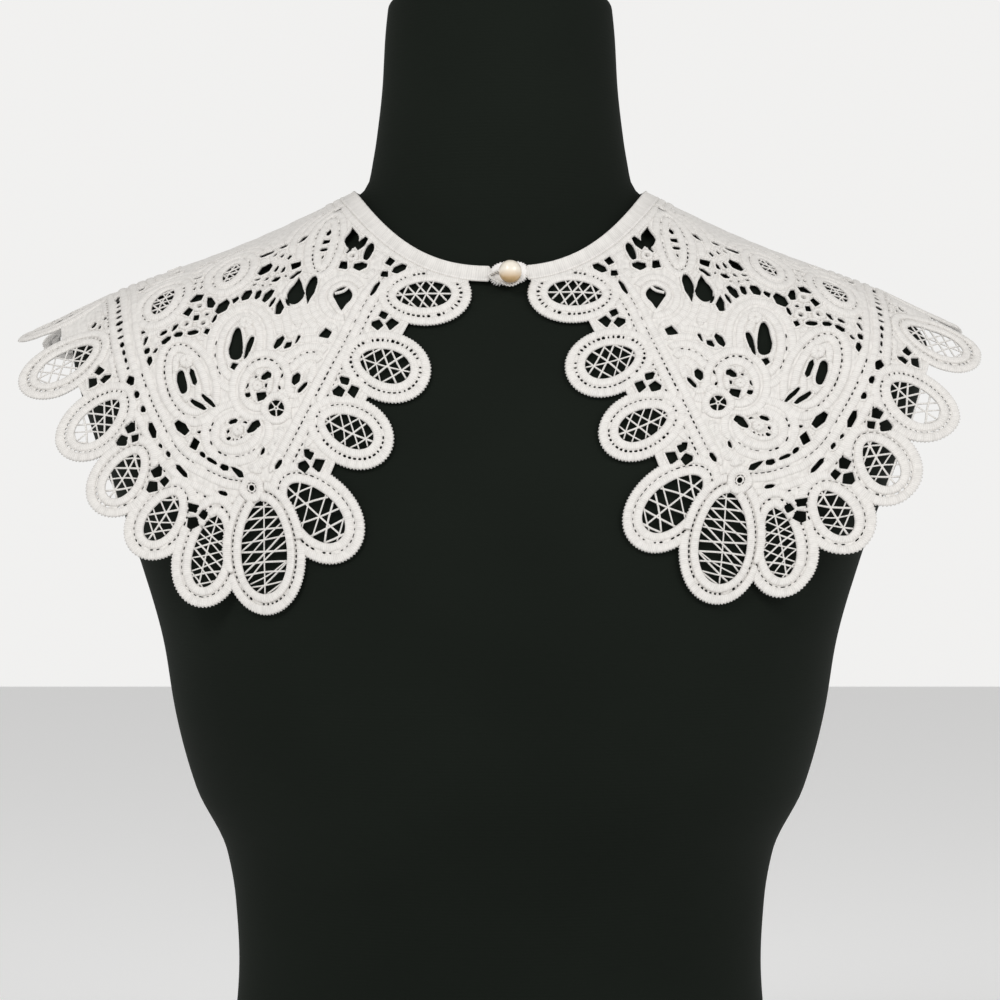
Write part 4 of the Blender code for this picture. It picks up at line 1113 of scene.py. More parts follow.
class Pattern:
    """The flat pattern of one half: every ring, tape, ladder and gap."""

    def __init__(self) -> None:
        """Lays the rings out and marks the gaps."""
        self.chance = random.Random(7)
        self.medallions = list(FRONT_MEDALLIONS)
        pitch = (HALF_SWEEP - SHOULDER_MEDALLION_AT) / (BACK_MEDALLIONS - 0.5)
        for i in range(BACK_MEDALLIONS):
            angle = SHOULDER_MEDALLION_AT + i * pitch
            self.medallions.append(Medallion(*on_arc(angle, BACK_OUT), BACK_LENGTH, BACK_WIDTH,
                                             90 - angle, i % 2))
        self.hull = [(0.0, 0.0)] + [(m.across, m.down) for m in self.medallions]
        past_seam = 3                # degrees that are cut off again along the seam
        self.hull.append(on_arc(HALF_SWEEP + past_seam, BACK_OUT))
        self.motifs = self._motifs()
        self.gaps = self._uneven(self._gap_outlines())
        self.gap_map = GapMap(self.gaps)
        self.field = GapMap([np.array(self.hull)], 0.5)

    def _uneven(self, outlines: list[Flat]) -> list[Flat]:
        """Gaps as stitched: small ones grow until thin cords part them, large ones go out of true.

        Args:
            outlines: Their plain edges.

        Returns:
            Their uneven edges.
        """
        sizes = [np.ptp(outline, axis=0).max() for outline in outlines]
        uneven = list(outlines)
        for i, outline in enumerate(outlines):
            if sizes[i] > LARGE_GAP:
                middle = outline.mean(axis=0)
                out = outline - middle
                angle = np.arctan2(out[:, 1], out[:, 0])
                three, four = self.chance.uniform(0, 6.28), self.chance.uniform(0, 6.28)
                share = 1.06 + 0.05 * np.sin(3 * angle + three) + 0.04 * np.sin(4 * angle + four)
                uneven[i] = middle + out * share[:, None]
        edges = [Line(outline, True) for outline in uneven]
        spots = [edge.at(edge.stations(0.7)) for edge in edges]
        for i, outline in enumerate(outlines):
            middle = outline.mean(axis=0)
            round_hole = any(math.dist(middle, (e.across, e.down)) < 0.5 for e in EYELETS)
            if sizes[i] > LARGE_GAP or round_hole:
                continue
            out = outline - middle
            long, wide = np.linalg.svd(out, compute_uv=False)
            if sizes[i] > SMALL_GAP and long < 1.5 * wide:
                few = slice(self.chance.randrange(4), None, 4)
            else:
                few = slice(self.chance.randrange(2), None, 3 if sizes[i] > SMALL_GAP else 2)
            corners, out = outline[few], out[few]
            others = np.concatenate(spots[:i] + spots[i + 1:])
            between = np.linalg.norm(corners[:, None] - others[None], axis=2).min(axis=1) - BRIDE
            clear = np.min([motif.distance(corners) for motif in self.motifs], axis=0)
            room = np.clip(np.minimum(between / 2, np.maximum(clear - 0.3, 0.4)), 0.1, 1.5)
            room *= np.array([self.chance.uniform(0.3, 1.12) for _ in corners])
            reach = np.linalg.norm(out, axis=1)
            uneven[i] = middle + out * ((reach + room) / reach)[:, None]
        return uneven

    def _motifs(self) -> list[Motif]:
        """Everything that rows of bands run round or stop at.

        Returns:
            Scrolls, shoulder ovals, tapes, arcs, medallions, eyelets and knots.
        """
        motifs = [Motif(s.ring.line(), 0.5 + BAND_PITCH * s.outer, 3, s.ring) for s in SCROLLS]
        motifs += [Motif(o.ring().line(), 9.6, 2, o.ring()) for o in SHOULDER_OVALS]
        motifs += [Motif(smooth(t.places), t.reach, 3) for t in (FRONT_TAPE, SHOULDER_TAPE)]
        motifs.append(Motif(arc_line(*NECK_ROW), 2.1, 1))
        motifs.append(Motif(arc_line(BACK_ARC, BACK_ARC_FROM), 4.8, 3))
        for medallion in self.medallions:
            ring = medallion.ring()
            motifs.append(Motif(ring.line(RING_MARGIN), 0.0, 0, ring.grown(RING_MARGIN)))
        rounds = [(eyelet.ring(eyelet.radius + eyelet.band), 1) for eyelet in EYELETS]
        rounds += [(Oval.round(across, down, radius), 0) for across, down, radius, _ in KNOTS]
        return motifs + [Motif(ring.line(), 0.0, rows, ring) for ring, rows in rounds]

    def rows(self) -> list[Line]:
        """Bands that fill the field, each staying with the motif that it lies nearest to.

        Returns:
            The bands' middles.
        """
        lines = []
        for motif in self.motifs:
            # each of the others, and the least distance that is kept from it
            others = [(m, 1.0 if m.rows else 1.9) for m in self.motifs if m is not motif]
            for number in range(motif.rows):
                own = (number + 0.5) * BAND_PITCH

                def nearest(places: Flat) -> np.ndarray:
                    """Whether places are free and no other motif is nearer."""
                    clear = [m.distance(places) > max(own - 0.6, least) for m, least in others]
                    return self._in_field(places) & np.all(clear, axis=0)

                for line in motif.row(number):
                    lines.extend(line.kept(nearest))
        return lines

    def _in_field(self, places: Flat) -> np.ndarray:
        """Whether places lie in the field and in none of its gaps."""
        return self.within_half(places) & self.field.at(places) & ~self.gap_map.at(places)

    def free_of_higher(self, medallion: Medallion) -> Callable[[Flat], np.ndarray]:
        """A test for places that no higher ring covers, nor the eyelet at the collar's corner.

        Args:
            medallion: The ring whose band is tested.

        Returns:
            The test.
        """
        higher = [m.ring() for m in self.medallions if m.layer > medallion.layer]
        corner = EYELETS[0].ring(EYELETS[0].radius + EYELETS[0].band - 0.8)

        def test(places: Flat) -> np.ndarray:
            """Whether each place is free."""
            held = [ring.holds(places, RING_MARGIN - 2.3) for ring in higher]
            return self.within_half(places) & ~np.any([*held, corner.holds(places)], axis=0)

        return test

    @staticmethod
    def within_half(places: Flat) -> np.ndarray:
        """Whether places lie on this side of the centre back seam and below the neck band.

        Args:
            places: The places.

        Returns:
            True for each place within the half.
        """
        angle = np.degrees(np.arctan2(places[:, 0], places[:, 1]))
        radius = np.hypot(places[:, 0], places[:, 1])
        clear = SEAM_GAP + 2.0
        back = np.radians(HALF_SWEEP - angle) * radius > clear
        return back & (angle > 0) & (radius > NECK_ARC + BAND_EDGE + clear)

    def corner_gaps(self) -> list[Gap]:
        """Gaps in the corners behind neighbouring medallions.

        Returns:
            Three gaps a corner at the front and one a corner at the back.
        """
        gaps = []
        for i, (first, second) in enumerate(zip(self.medallions, self.medallions[1:])):
            if i in CLOSED_PAIRS:
                continue
            run = Vector((second.across - first.across, second.down - first.down)).normalized()
            inward = Vector((run.y, -run.x))
            middle = Vector((first.across + second.across, first.down + second.down)) / 2
            for gap in CORNER_GAPS if i < len(FRONT_MEDALLIONS) else CORNER_GAPS[:1]:
                centre = middle + inward * gap.inward + run * gap.along
                turn = math.degrees(math.atan2(inward.y, inward.x)) + gap.turn
                size = gap.size * CORNER_SPREAD
                gaps.append(Gap(centre.x, centre.y, size, size, turn, gap.form))
        return gaps

    def _gap_outlines(self) -> list[Flat]:
        """Outlines of every gap but the webs and the ladders.

        Returns:
            The gaps of the field, the corners, the knots and the back's plain motif.
        """
        gaps = list(FIELD_GAPS) + self.corner_gaps()
        gaps += [Gap(*place, 2 * hole, 2 * hole, 0) for *place, _, hole in KNOTS if hole]
        outlines = [gap.outline() for gap in gaps]
        back = [replace(gap, down=gap.down + NECK_ARC).outline() for gap in BACK_FIELD]
        for angle in BACK_FIELD_ANGLES:
            outlines += [turned(outline, -angle, 0, 0) for outline in back]
        return outlines


# ---------------- one half of the collar
@dataclass
class HalfCollar:
    """One lace half: ground, scalloped rings, tapes, flower, corded edges and webs."""

    pattern: Pattern
    surface: CollarSurface
    side: int                        # 1 for the half with the tab, -1 for the other
    label: str                       # "left" or "right"
    finishes: dict[str, bpy.types.Material]
    inner_band: Profile = Profile.satin(3.9)
    outer_band: Profile = Profile.satin(4.1, picot=0.42)
    edge_band: Profile = Profile.satin(2.2, 1.2)     # along the edge, from ring to ring
    full_band: Profile = Profile.satin(4.0)
    flat_band: Profile = Profile.satin(4.0, 1.35)
    row_band: Profile = Profile.satin(BAND_PITCH, 1.35)
    inner_at: float = 2.0            # from a web's edge to the middle of the inner band
    rungs_at: float = 4.45           # from there to the slots between the bands
    outer_at: float = RING_MARGIN - 2.05     # and to the middle of the outer band
    layer_rise: float = 0.25         # how much higher each layer of rings lies, and of scrolls
    scroll_rise: float = 0.15
    tape_taper: float = 3.0          # length over which the ends of tapes and of rows narrow
    row_taper: float = 2.0
    long_step: float = 1.5           # between the sections of a long, gently curved band
    ground_wall: float = 0.9
    ground_pitch: float = 5.0        # of the points that let the ground bend

    def __post_init__(self) -> None:
        """Starts the half with no slots."""
        self.chance = random.Random(11)
        self.slots: list[Flat] = []
        self.gap_map = GapMap(self.pattern.gaps)

    def _work(self) -> Stitching:
        """An empty piece of this half, whose bands leave its gaps free."""
        return Stitching(self.surface, self.side, self.gap_map)

    def ladder(self, line: Line, ladder: Ladder = Ladder(),
               keep: Callable[[Flat], np.ndarray] | None = None) -> None:
        """Leaves a row of slots along a line.

        Args:
            line: The line.
            ladder: The slots' sizes.
            keep: Tells for each point whether slots may lie there.
        """
        for part in line.kept(keep) if keep else [line]:
            slots = ladder.slots(part, self.chance)
            self.slots.extend(slots)
            for slot in slots:
                self.gap_map.mark(slot)

    def border(self) -> bpy.types.Object:
        """The scalloped rings: an inner band, a ladder and an outer band with picots.

        Returns:
            The piece.
        """
        work = self._work()
        medallions = self.pattern.medallions
        for medallion in medallions:
            self.ladder(medallion.ring().line(self.rungs_at), medallion.rungs(),
                        self.pattern.free_of_higher(medallion))
        bands = ((self.inner_at, self.inner_band), (self.outer_at, self.outer_band))
        for medallion in medallions:
            free, lift = self.pattern.free_of_higher(medallion), self.layer_rise * medallion.layer
            for offset, band in bands:
                work.sweep(medallion.ring().line(offset), band, lift=lift, keep=free)
        for first, second in zip(medallions, medallions[1:]):
            edge = Line(np.array([(first.across, first.down), (second.across, second.down)]))

            def outside(places: Flat) -> np.ndarray:
                """Whether places lie clear of both rings."""
                held = [m.ring().holds(places, RING_MARGIN - 1.5) for m in (first, second)]
                return ~(held[0] | held[1])

            for line in edge.shifted(0.8).kept(outside, 0.7):
                work.sweep(line, self.edge_band, 1.0)
        return work.piece("border_" + self.label, self.finishes["satin"])

    def tapes(self) -> bpy.types.Object:
        """The tapes that part the field, and the edge beside the neck band.

        Returns:
            The piece.
        """
        work = self._work()
        lines = {tape: smooth(tape.places) for tape in (FRONT_TAPE, SHOULDER_TAPE)}
        self.ladder(lines[SHOULDER_TAPE].shifted(CHAIN_OFFSET), CHAIN,
                    lambda p: (p[:, 1] < CHAIN_END) & (p[:, 1] > CHAIN_TOP))
        for tape, line in lines.items():
            for offset in tape.ladders:
                whole = tape is FRONT_TAPE or offset < 0
                for part in line.shifted(offset).kept(self._clear_of_rings):
                    self.ladder(part, keep=lambda p: whole | (p[:, 1] > CHAIN_END))
        for tape, line in lines.items():
            for offset in tape.bands:
                work.sweep(line.shifted(offset), Profile.satin(tape.width), taper=self.tape_taper,
                           keep=self._clear_of_rings)
        work.sweep(arc_line(*NECK_ROW), self.flat_band, self.long_step)
        for out in (BACK_ARC - BACK_ARC_SPREAD, BACK_ARC + BACK_ARC_SPREAD):
            work.sweep(arc_line(out, BACK_ARC_FROM), self.full_band, self.long_step)
        return work.piece("tapes_" + self.label, self.finishes["satin"])

    def rows(self) -> bpy.types.Object:
        """The bands that fill the field between tapes, flower and border.

        Returns:
            The piece.
        """
        work = self._work()
        for line in self.pattern.rows():
            work.sweep(line, self.row_band, self.long_step, taper=self.row_taper)
        return work.piece("rows_" + self.label, self.finishes["satin"])

    def _clear_of_rings(self, places: Flat) -> np.ndarray:
        """Whether places lie outside every scalloped ring."""
        held = [m.ring().holds(places, RING_MARGIN - 1.2) for m in self.pattern.medallions]
        return self.pattern.within_half(places) & ~np.any(held, axis=0)

    def _uncovered(self, scroll: Scroll) -> Callable[[Flat], np.ndarray]:
        """A test for places that no tape and no scroll above this one covers.

        Args:
            scroll: The scroll whose bands are tested.

        Returns:
            The test.
        """
        higher = [s.ring for s in SCROLLS if s.layer > scroll.layer]
        tapes = [m for m in self.pattern.motifs if m.ring is None]

        def test(places: Flat) -> np.ndarray:
            """Whether each place is uncovered."""
            clear = [~ring.holds(places, 3.0) for ring in higher]
            clear += [tape.distance(places) > 0.6 for tape in tapes]
            return self._clear_of_rings(places) & np.all(clear, axis=0)

        return test

    def flower(self) -> bpy.types.Object:
        """Petals, scrolls, leaf, heart and shoulder ovals.

        Returns:
            The piece.
        """
        work = self._work()
        for scroll in SCROLLS:
            if scroll.ladder:
                start, end = scroll.ladder
                self.ladder(replace(scroll.ring, start=start, end=end).line(),
                            Ladder(width=0.95, missing=0.15), self._uncovered(scroll))
        for oval in SHOULDER_OVALS:
            self.ladder(oval.ring().line(4.8), Ladder(missing=0.35))
        for scroll in SCROLLS:
            offsets = [-SCROLL_BAND_AT - BAND_PITCH * k for k in range(scroll.inner)]
            offsets += [SCROLL_BAND_AT + BAND_PITCH * k for k in range(scroll.outer)]
            for offset in offsets:
                work.sweep(scroll.ring.line(offset), self.full_band,
                           lift=self.scroll_rise * scroll.layer, keep=self._uncovered(scroll))
        rings = [(oval.ring().line(offset), Profile.satin(width), 0.0)
                 for oval in SHOULDER_OVALS for offset, width in ((2.2, 4.2), (7.3, 4.3))]
        rings += [(Line(gap.outline(), True).shifted(SEAM_GAP + width / 2),
                   Profile.satin(width), 0.1) for gap, width in RIMMED_GAPS]
        for line, band, lift in rings:
            work.sweep(line, band, lift=lift)
        for across, down, radius, hole in KNOTS:
            knot = Profile.satin(radius - hole, 2.1)
            work.sweep(Oval.round(across, down, (radius + hole) / 2).line(), knot, 0.8, 0.2)
        for eyelet in EYELETS:
            ring = eyelet.ring(eyelet.radius + eyelet.band / 2)
            work.sweep(ring.line(), Profile.satin(eyelet.band, 1.6), lift=0.4)
        return work.piece("flower_" + self.label, self.finishes["satin"])

    def cords(self) -> bpy.types.Object:
        """Corded edges of the gaps, the webs' threads and the spokes of the eyelets.

        Returns:
            The piece.
        """
        work = self._work()
        for outline in self.pattern.gaps:
            if self.pattern.within_half(outline).all():
                wide = np.ptp(outline, axis=0).max() > SMALL_GAP
                edge, rim = WIDE_RIM if wide else NARROW_RIM
                work.sweep(Line(outline, True).shifted(edge), rim, 1.0)
        work.gaps = None             # from here on the threads cross the gaps
        work.sweep(smooth(HEART_CORD), Profile.cord(1.4, 0.9), 0.8)
        for medallion in self.pattern.medallions + list(SHOULDER_OVALS):
            self._web(work, medallion)
        for eyelet in EYELETS:
            middle = np.array([eyelet.across, eyelet.down])
            for k in range(eyelet.spokes):
                t = 2 * math.pi * (k + 0.3) / eyelet.spokes
                way = np.array([math.cos(t), math.sin(t)])
                ends = [middle + way * eyelet.hub, middle + way * (eyelet.radius + 0.6)]
                work.sweep(Line(np.array(ends)), Profile.cord(0.7, 0.8, 5), 3.0)
            work.sweep(eyelet.ring(eyelet.hub).line(), Profile.cord(0.8, 0.8), 0.7)
        return work.piece("cords_" + self.label, self.finishes["cord"])

    def _web(self, work: Stitching, medallion: Medallion) -> None:
        """Threads across one medallion's opening.

        Args:
            work: The piece they join.
            medallion: The medallion.
        """
        ring = medallion.ring()
        half_length, half_width = medallion.length / 2, medallion.width / 2

        def clipped(place: tuple[float, float], angle: float) -> None:
            """Lays a slightly bowed thread across the opening, from edge to edge.

            Args:
                place: A place that it runs through, from the medallion's middle.
                angle: Its direction.
            """
            spots = np.array(place) + np.array(cos_sin(angle)) * np.arange(-60, 60, 0.5)[:, None]
            flat = turned(spots, medallion.turn, medallion.across, medallion.down)
            inside = flat[ring.holds(flat, 0.4)]
            if len(inside) > 4:
                start, end = inside[0], inside[-1]
                bow = (end - start)[::-1] * (1, -1) * uneven(-0.04, 0.04)
                line = smooth((tuple(start), tuple((start + end) / 2 + bow), tuple(end)))
                work.sweep(line, Profile.cord(uneven(0.66, 0.98), uneven(0.55, 0.95), 5), 2.4)

        uneven = self.chance.uniform
        clipped((0.0, uneven(-0.4, 0.4)), uneven(-3, 3))
        web = medallion.web
        count = math.ceil((half_length + half_width) / web.pitch)
        for k in range(-count, count + 1):
            for angle in web.angles:
                clipped(((k + 0.35) * web.pitch + uneven(-0.6, 0.6), 0.0), angle + uneven(-8, 8))

    def ground(self) -> bpy.types.Object:
        """The thin cloth under the bands, with every gap and ladder slot cut through.

        Returns:
            The piece.
        """
        medallions = self.pattern.medallions
        cloth = [self.pattern.hull]
        cloth += [m.ring().line(RING_MARGIN - 1.0).corners[::3] for m in medallions]
        cuts: list = [self._neck_cut(), self._back_cut()]
        cuts += [m.ring().line(0.7).corners[::3] for m in medallions + list(SHOULDER_OVALS)]
        cuts += self.pattern.gaps + self.slots
        near, far, back = 100, 262, -190     # loose points lie between near and far from the neck
        loose = [(x, y) for x in np.arange(4, far, self.ground_pitch)
                 for y in np.arange(back, far, self.ground_pitch) if near < math.hypot(x, y) < far]
        flat, triangles = self._cut(cloth, cuts, loose)
        places = np.array(flat)
        world = self.surface.points(places * np.array([self.side, 1.0]))
        faces = []
        for a, b, c in triangles:
            normal = np.cross(world[b] - world[a], world[c] - world[a])
            outward = (world[a][0], world[a][1], 60)     # roughly, on shoulder, chest and back
            faces.append((a, b, c) if normal @ outward > 0 else (a, c, b))
        uvs = places[np.array(faces).ravel()]
        sheet = placed("ground_" + self.label, world, faces, self.finishes["ground"], uvs)
        wall = sheet.modifiers.new("wall", "SOLIDIFY")
        wall.thickness = self.ground_wall * MM
        wall.offset = 1
        return sheet

    @staticmethod
    def _neck_cut() -> list[tuple[float, float]]:
        """Everything inside the lower edge of the neck band."""
        return [(0.0, 0.0)] + [on_arc(a, FIELD_EDGE) for a in np.arange(-12, HALF_SWEEP + 12, 2)]

    @staticmethod
    def _back_cut() -> list[tuple[float, ...]]:
        """Everything past the centre back seam.

        Returns:
            The corners of what is cut away.
        """
        c, s = cos_sin(HALF_SWEEP)
        along, past = Vector((s, c)), Vector((c, -s))
        start, far = -past * SEAM_GAP / 2, 2 * COLLAR_REACH
        return [tuple(start - along), tuple(start + along * far),
                tuple(start + along * far + past * far), tuple(start + past * far)]

    @staticmethod
    def _cut(cloth: list, cuts: list, loose: list) -> tuple[list, list]:
        """Joins cloth outlines and takes the cuts out.

        Args:
            cloth: Outlines that are kept.
            cuts: Outlines that are taken out.
            loose: More points, which let the cloth bend.

        Returns:
            Flat points and triangles.
        """
        points, faces = [], []
        for outline in cloth + cuts:
            ring = [tuple(map(float, p)) for p in outline]
            area = sum(a[0] * b[1] - b[0] * a[1] for a, b in zip(ring, ring[1:] + ring[:1]))
            ring = ring if area > 0 else ring[::-1]
            faces.append(list(range(len(points), len(points) + len(ring))))
            points.extend(Vector(p) for p in ring)
        points.extend(Vector(map(float, p)) for p in loose)
        verts, _, triangles, _, _, holders = delaunay_2d_cdt(points, [], faces, 0, 1e-5)
        stay = [t for t, held in zip(triangles, holders) if held and max(held) < len(cloth)]
        used = sorted({v for t in stay for v in t})
        index = {v: i for i, v in enumerate(used)}
        return [tuple(verts[v]) for v in used], [tuple(index[v] for v in t) for t in stay]

    def build(self, rests_on: str, sewn_on: list[bpy.types.Object]) -> None:
        """Makes the half's pieces.

        Args:
            rests_on: Not used.
            sewn_on: Not used.
        """
        node = "lace_" + self.label
        trims = [self.border(), self.tapes(), self.rows(), self.flower(), self.cords()]
        ground = self.ground()
        for piece in [ground] + trims:
            stands_for(piece, "lace_cotton", node)


# ---------------- neck band and closure
@dataclass
class NeckBand:
    """The tape round the neck edge with its corded edges."""

    surface: CollarSurface
    inner: float = 1.6
    outer: float = 9.7
    left_end: float = 3.4        # both ends run a little under the tab that is sewn over them
    right_end: float = 10.8
    # its section from each edge inwards, distance and height; its underside is narrower by foot
    edge: tuple[tuple[float, float], ...] = ((0.0, 0.7), (0.35, 1.35), (1.1, 1.5), (1.7, 1.18))
    foot: float = 0.5

    def build(self, material: bpy.types.Material) -> bpy.types.Object:
        """Makes the tape.

        Args:
            material: Its finish.

        Returns:
            The piece.
        """
        work = Stitching(self.surface)
        out, half = (self.inner + self.outer) / 2, (self.outer - self.inner) / 2
        across = [-half + a for a, _ in self.edge] + [half - a for a, _ in self.edge[::-1]]
        rise = [height for _, height in self.edge + self.edge[::-1]]
        section = Profile((*across, half - self.foot, -half + self.foot), (*rise, 0.0, 0.0))
        left, right = (math.degrees(math.asin(end / (NECK_ARC + out)))
                       for end in (self.left_end, self.right_end))
        for sweep in (np.arange(-left, -HALF_SWEEP, -1.0), np.arange(right, HALF_SWEEP, 1.0)):
            angles = np.append(sweep, math.copysign(HALF_SWEEP, sweep[-1]))
            line = Line(np.array([on_arc(a, out) for a in angles]))
            work.sweep(line, section, 1.6, taper=1.5)
        return stands_for(work.piece("neck_tape", material), "band_cotton", "neck_band")


@dataclass
class ButtonTab:
    """Rounded end of the band under the button, edged with picots."""

    surface: CollarSurface
    centre_across: float = 4.0
    centre_out: float = 5.2
    length: float = 16.0
    height: float = 11.6
    limit: float = 12.0          # across: where it is cut off straight
    tilt: float = 0.1            # how much lower its free end hangs, a millimetre of length
    squareness: float = 0.75     # 1 for an oval outline, less for a squarer one
    stitches: int = 64           # corners of its edge; every second one is a picot's tip
    pitch: float = 0.7
    rings: tuple[tuple[float, float], ...] = (       # share of the outline, and height
        (1.0, 0.0), (1.03, 0.5), (1.0, 1.1), (0.88, 1.45), (0.62, 1.5), (0.3, 1.5), (0.04, 1.5),
        (0.04, 0.0))

    def build(self, material: bpy.types.Material, rests_on: str) -> bpy.types.Object:
        """Makes the tab as closed rings of stitches from its edge to its middle.

        Args:
            material: Its finish.
            rests_on: Not used.

        Returns:
            The piece.
        """
        work = Stitching(self.surface)
        number = np.arange(self.stitches)
        t = np.radians(number * 360 / self.stitches)
        c, s = np.cos(t), np.sin(t)
        x = self.length / 2 * np.sign(c) * np.abs(c)**self.squareness
        y = self.height / 2 * np.sign(s) * np.abs(s)**self.squareness
        teeth = np.where(number % 2 == 0, 0.3, -0.25) * (1 + 1.6 * np.maximum(s, 0))
        world = []
        for share, height in self.rings:
            reach = share + np.where(share >= 1, teeth / 6, 0)
            flat = np.stack([np.minimum(self.centre_across + x * reach, self.limit),
                             NECK_ARC + self.centre_out + (y - self.tilt * x) * reach], axis=-1)
            world.append(self.surface.lifted(flat, np.full(self.stitches, height)))
        sections = np.array(world).transpose(1, 0, 2)[::-1]
        work.loft(sections, number * self.pitch, self.stitches * self.pitch, True)
        piece = stands_for(work.piece("tab_cloth", material), "band_cotton", "button_tab")
        return piece


@dataclass
class Closure:
    """The ball button and the thread loop round its foot."""

    surface: CollarSurface
    diameter: float = 10.0
    across: float = 4.4          # place of the button's middle
    out: float = 8.6
    segments: int = 48
    rings: int = 28
    wall: float = 1.5            # thickness of the lace under both
    cord: float = 1.4
    loop_radius: float = 4.4
    tip_across: float = -5.0     # where the loop is sewn on
    tip_out: float = 6.2
    pull: float = 0.9            # how far it is drawn to that place, as a share
    twist: float = 2.6           # length in which its two threads turn once
    step: float = 0.35

    def pearl(self, material: bpy.types.Material) -> bpy.types.Object:
        """The button: a ball with a shallow dimple where its shank is set.

        Args:
            material: Its finish.

        Returns:
            The piece.
        """
        place = np.array([[self.across, NECK_ARC + self.out]])
        radius = self.diameter / 2
        centre = self.surface.lifted(place, np.array([self.wall + SEAM_GAP + radius]))[0]
        outward = self.surface.normals(place)[0]
        side = np.cross(outward, (0.0, 0.0, 1.0))
        side /= np.linalg.norm(side)
        up = np.cross(side, outward)
        verts = []
        for j in range(self.rings + 1):
            lat = math.pi * j / self.rings
            below, above = math.exp(-(lat / 0.25)**2), math.exp(-((math.pi - lat) / 0.2)**2)
            reach = radius * (1 - 0.05 * below - 0.04 * above)
            for i in range(self.segments):
                t = 2 * math.pi * i / self.segments
                sideways = (side * math.cos(t) + up * math.sin(t)) * math.sin(lat)
                verts.append(centre + (-outward * math.cos(lat) + sideways) * reach)
        faces = [(a, d, c, b) for a, b, c, d in ring_faces(self.rings + 1, self.segments)]
        ball = placed("pearl_ball", np.array(verts), faces, material)
        return stands_for(ball, "pearl", "pearl_button")

    def loop(self, material: bpy.types.Material) -> bpy.types.Object:
        """Two threads twisted together, laid round the button's foot.

        Args:
            material: Its finish.

        Returns:
            The piece.
        """
        corners = 72
        t = math.pi - 2 * np.pi * (np.arange(corners) + 0.5) / corners
        x, y = self.across + self.loop_radius * np.cos(t), self.out + self.loop_radius * np.sin(t)
        pull = np.maximum(0.0, -np.cos(t))**2
        path = np.stack([x + (self.tip_across - x) * pull * self.pull,
                         NECK_ARC + y - (y - self.tip_out) * pull * 0.5], axis=-1)
        line = Line(path, True)
        work = Stitching(self.surface)
        along = line.stations(self.step)
        beside = line.beside(along)
        strand = self.cord * 0.29    # from the cord's middle to that of one thread
        middle = self.wall + SEAM_GAP + self.cord / 2
        turns = round(line.length / self.twist)
        sides = np.radians(np.arange(6) * -60.0)
        across, rise = np.cos(sides) * strand * 1.15, np.sin(sides) * strand * 1.15
        for phase in (0.0, math.pi):
            spin = 2 * math.pi * turns * along / line.length + phase
            thread = line.at(along) + beside * (np.cos(spin) * strand)[:, None]
            height = middle + np.sin(spin)[:, None] * strand + rise[None, :]
            flat = thread[:, None, :] + beside[:, None, :] * across[None, :, None]
            work.loft(self.surface.lifted(flat, height), along, line.length, True)
        return stands_for(work.piece("loop_cord", material), "loop_thread", "button_loop")


@dataclass
class DressForm:
    """The limbless form with its knitted cover."""

    shape: FormShape
    top: float = 580.0
    segments: int = 144
    spread: float = 1.35         # draws the points together at the sides, where it bends most
    edge: float = 5.0            # radius of its rounded top edge
    edge_rows: int = 6
    row_step: float = 4.0
    crease: float = 50.0         # a sharper edge is shaded as one

    def build(self, material: bpy.types.Material) -> bpy.types.Object:
        """Makes the form, whole and closed.

        Args:
            material: The cover's finish.

        Returns:
            The piece.
        """
        heights = np.arange(0.0, self.top - self.edge, self.row_step)
        rows = [(0.0, 2.0), (0.6, 0.6)] + [(h, 0.0) for h in heights[1:]]    # height, set in by
        for k in range(self.edge_rows + 1):
            t = math.pi / 2 * k / self.edge_rows
            height = self.top - self.edge + self.edge * math.sin(t)
            rows.append((height, self.edge * (1 - math.cos(t))))
        t = 2 * np.pi * np.arange(self.segments) / self.segments
        azimuth = np.arctan2(self.spread * np.sin(t), np.cos(t))
        verts = []
        for height, shrink in rows:
            radius = self.shape.radius(np.full(self.segments, height), azimuth) - shrink
            verts.append(np.stack([radius * np.sin(azimuth), -radius * np.cos(azimuth),
                                   np.full(self.segments, height)], axis=-1))
        last = (len(rows) - 1) * self.segments
        faces = [*ring_faces(len(rows), self.segments), tuple(reversed(range(self.segments))),
                 tuple(range(last, last + self.segments))]
        piece = placed("form_cover", np.vstack(verts), faces, material)
        piece.data.set_sharp_from_angle(angle=math.radians(self.crease))
        return stands_for(piece, "form_cloth", "dress_form")


# ---------------- finishes
Output = tuple[bpy.types.Node, str]      # a node and the name of one of its outputs
MIX_COLOURS, MIX_RESULT = (6, 7), 2      # a mix node's sockets for colours


def linear(code: str) -> tuple[float, float, float, float]:
    """Linear red, green, blue and alpha of an sRGB colour such as "#F2EFEC"."""
    values = [int(code[i:i + 2], 16) / 255 for i in (1, 3, 5)]
    return (*[v / 12.92 if v <= 0.04045 else ((v + 0.055) / 1.055)**2.4 for v in values], 1.0)


def add_node(tree: bpy.types.NodeTree, kind: str, settings: dict | None = None,
             links: dict | None = None) -> bpy.types.Node:
    """Adds a node with its settings and links.

    Args:
        tree: The material's nodes.
        kind: The node's type.
        settings: Values by socket or property name.
        links: (node, output name) by socket name.

    Returns:
        The node.
    """
    node = tree.nodes.new(kind)
    for name, value in (settings or {}).items():
        if name in node.inputs:
            node.inputs[name].default_value = value
        else:
            setattr(node, name, value)
    for name, (source, output) in (links or {}).items():
        tree.links.new(source.outputs[output], node.inputs[name])
    return node


def wave_scale(pitch: float) -> float:
    """Scale at which a wave texture repeats every pitch, in millimetres, of metre coordinates."""
    return math.pi / 10 / (pitch * MM)


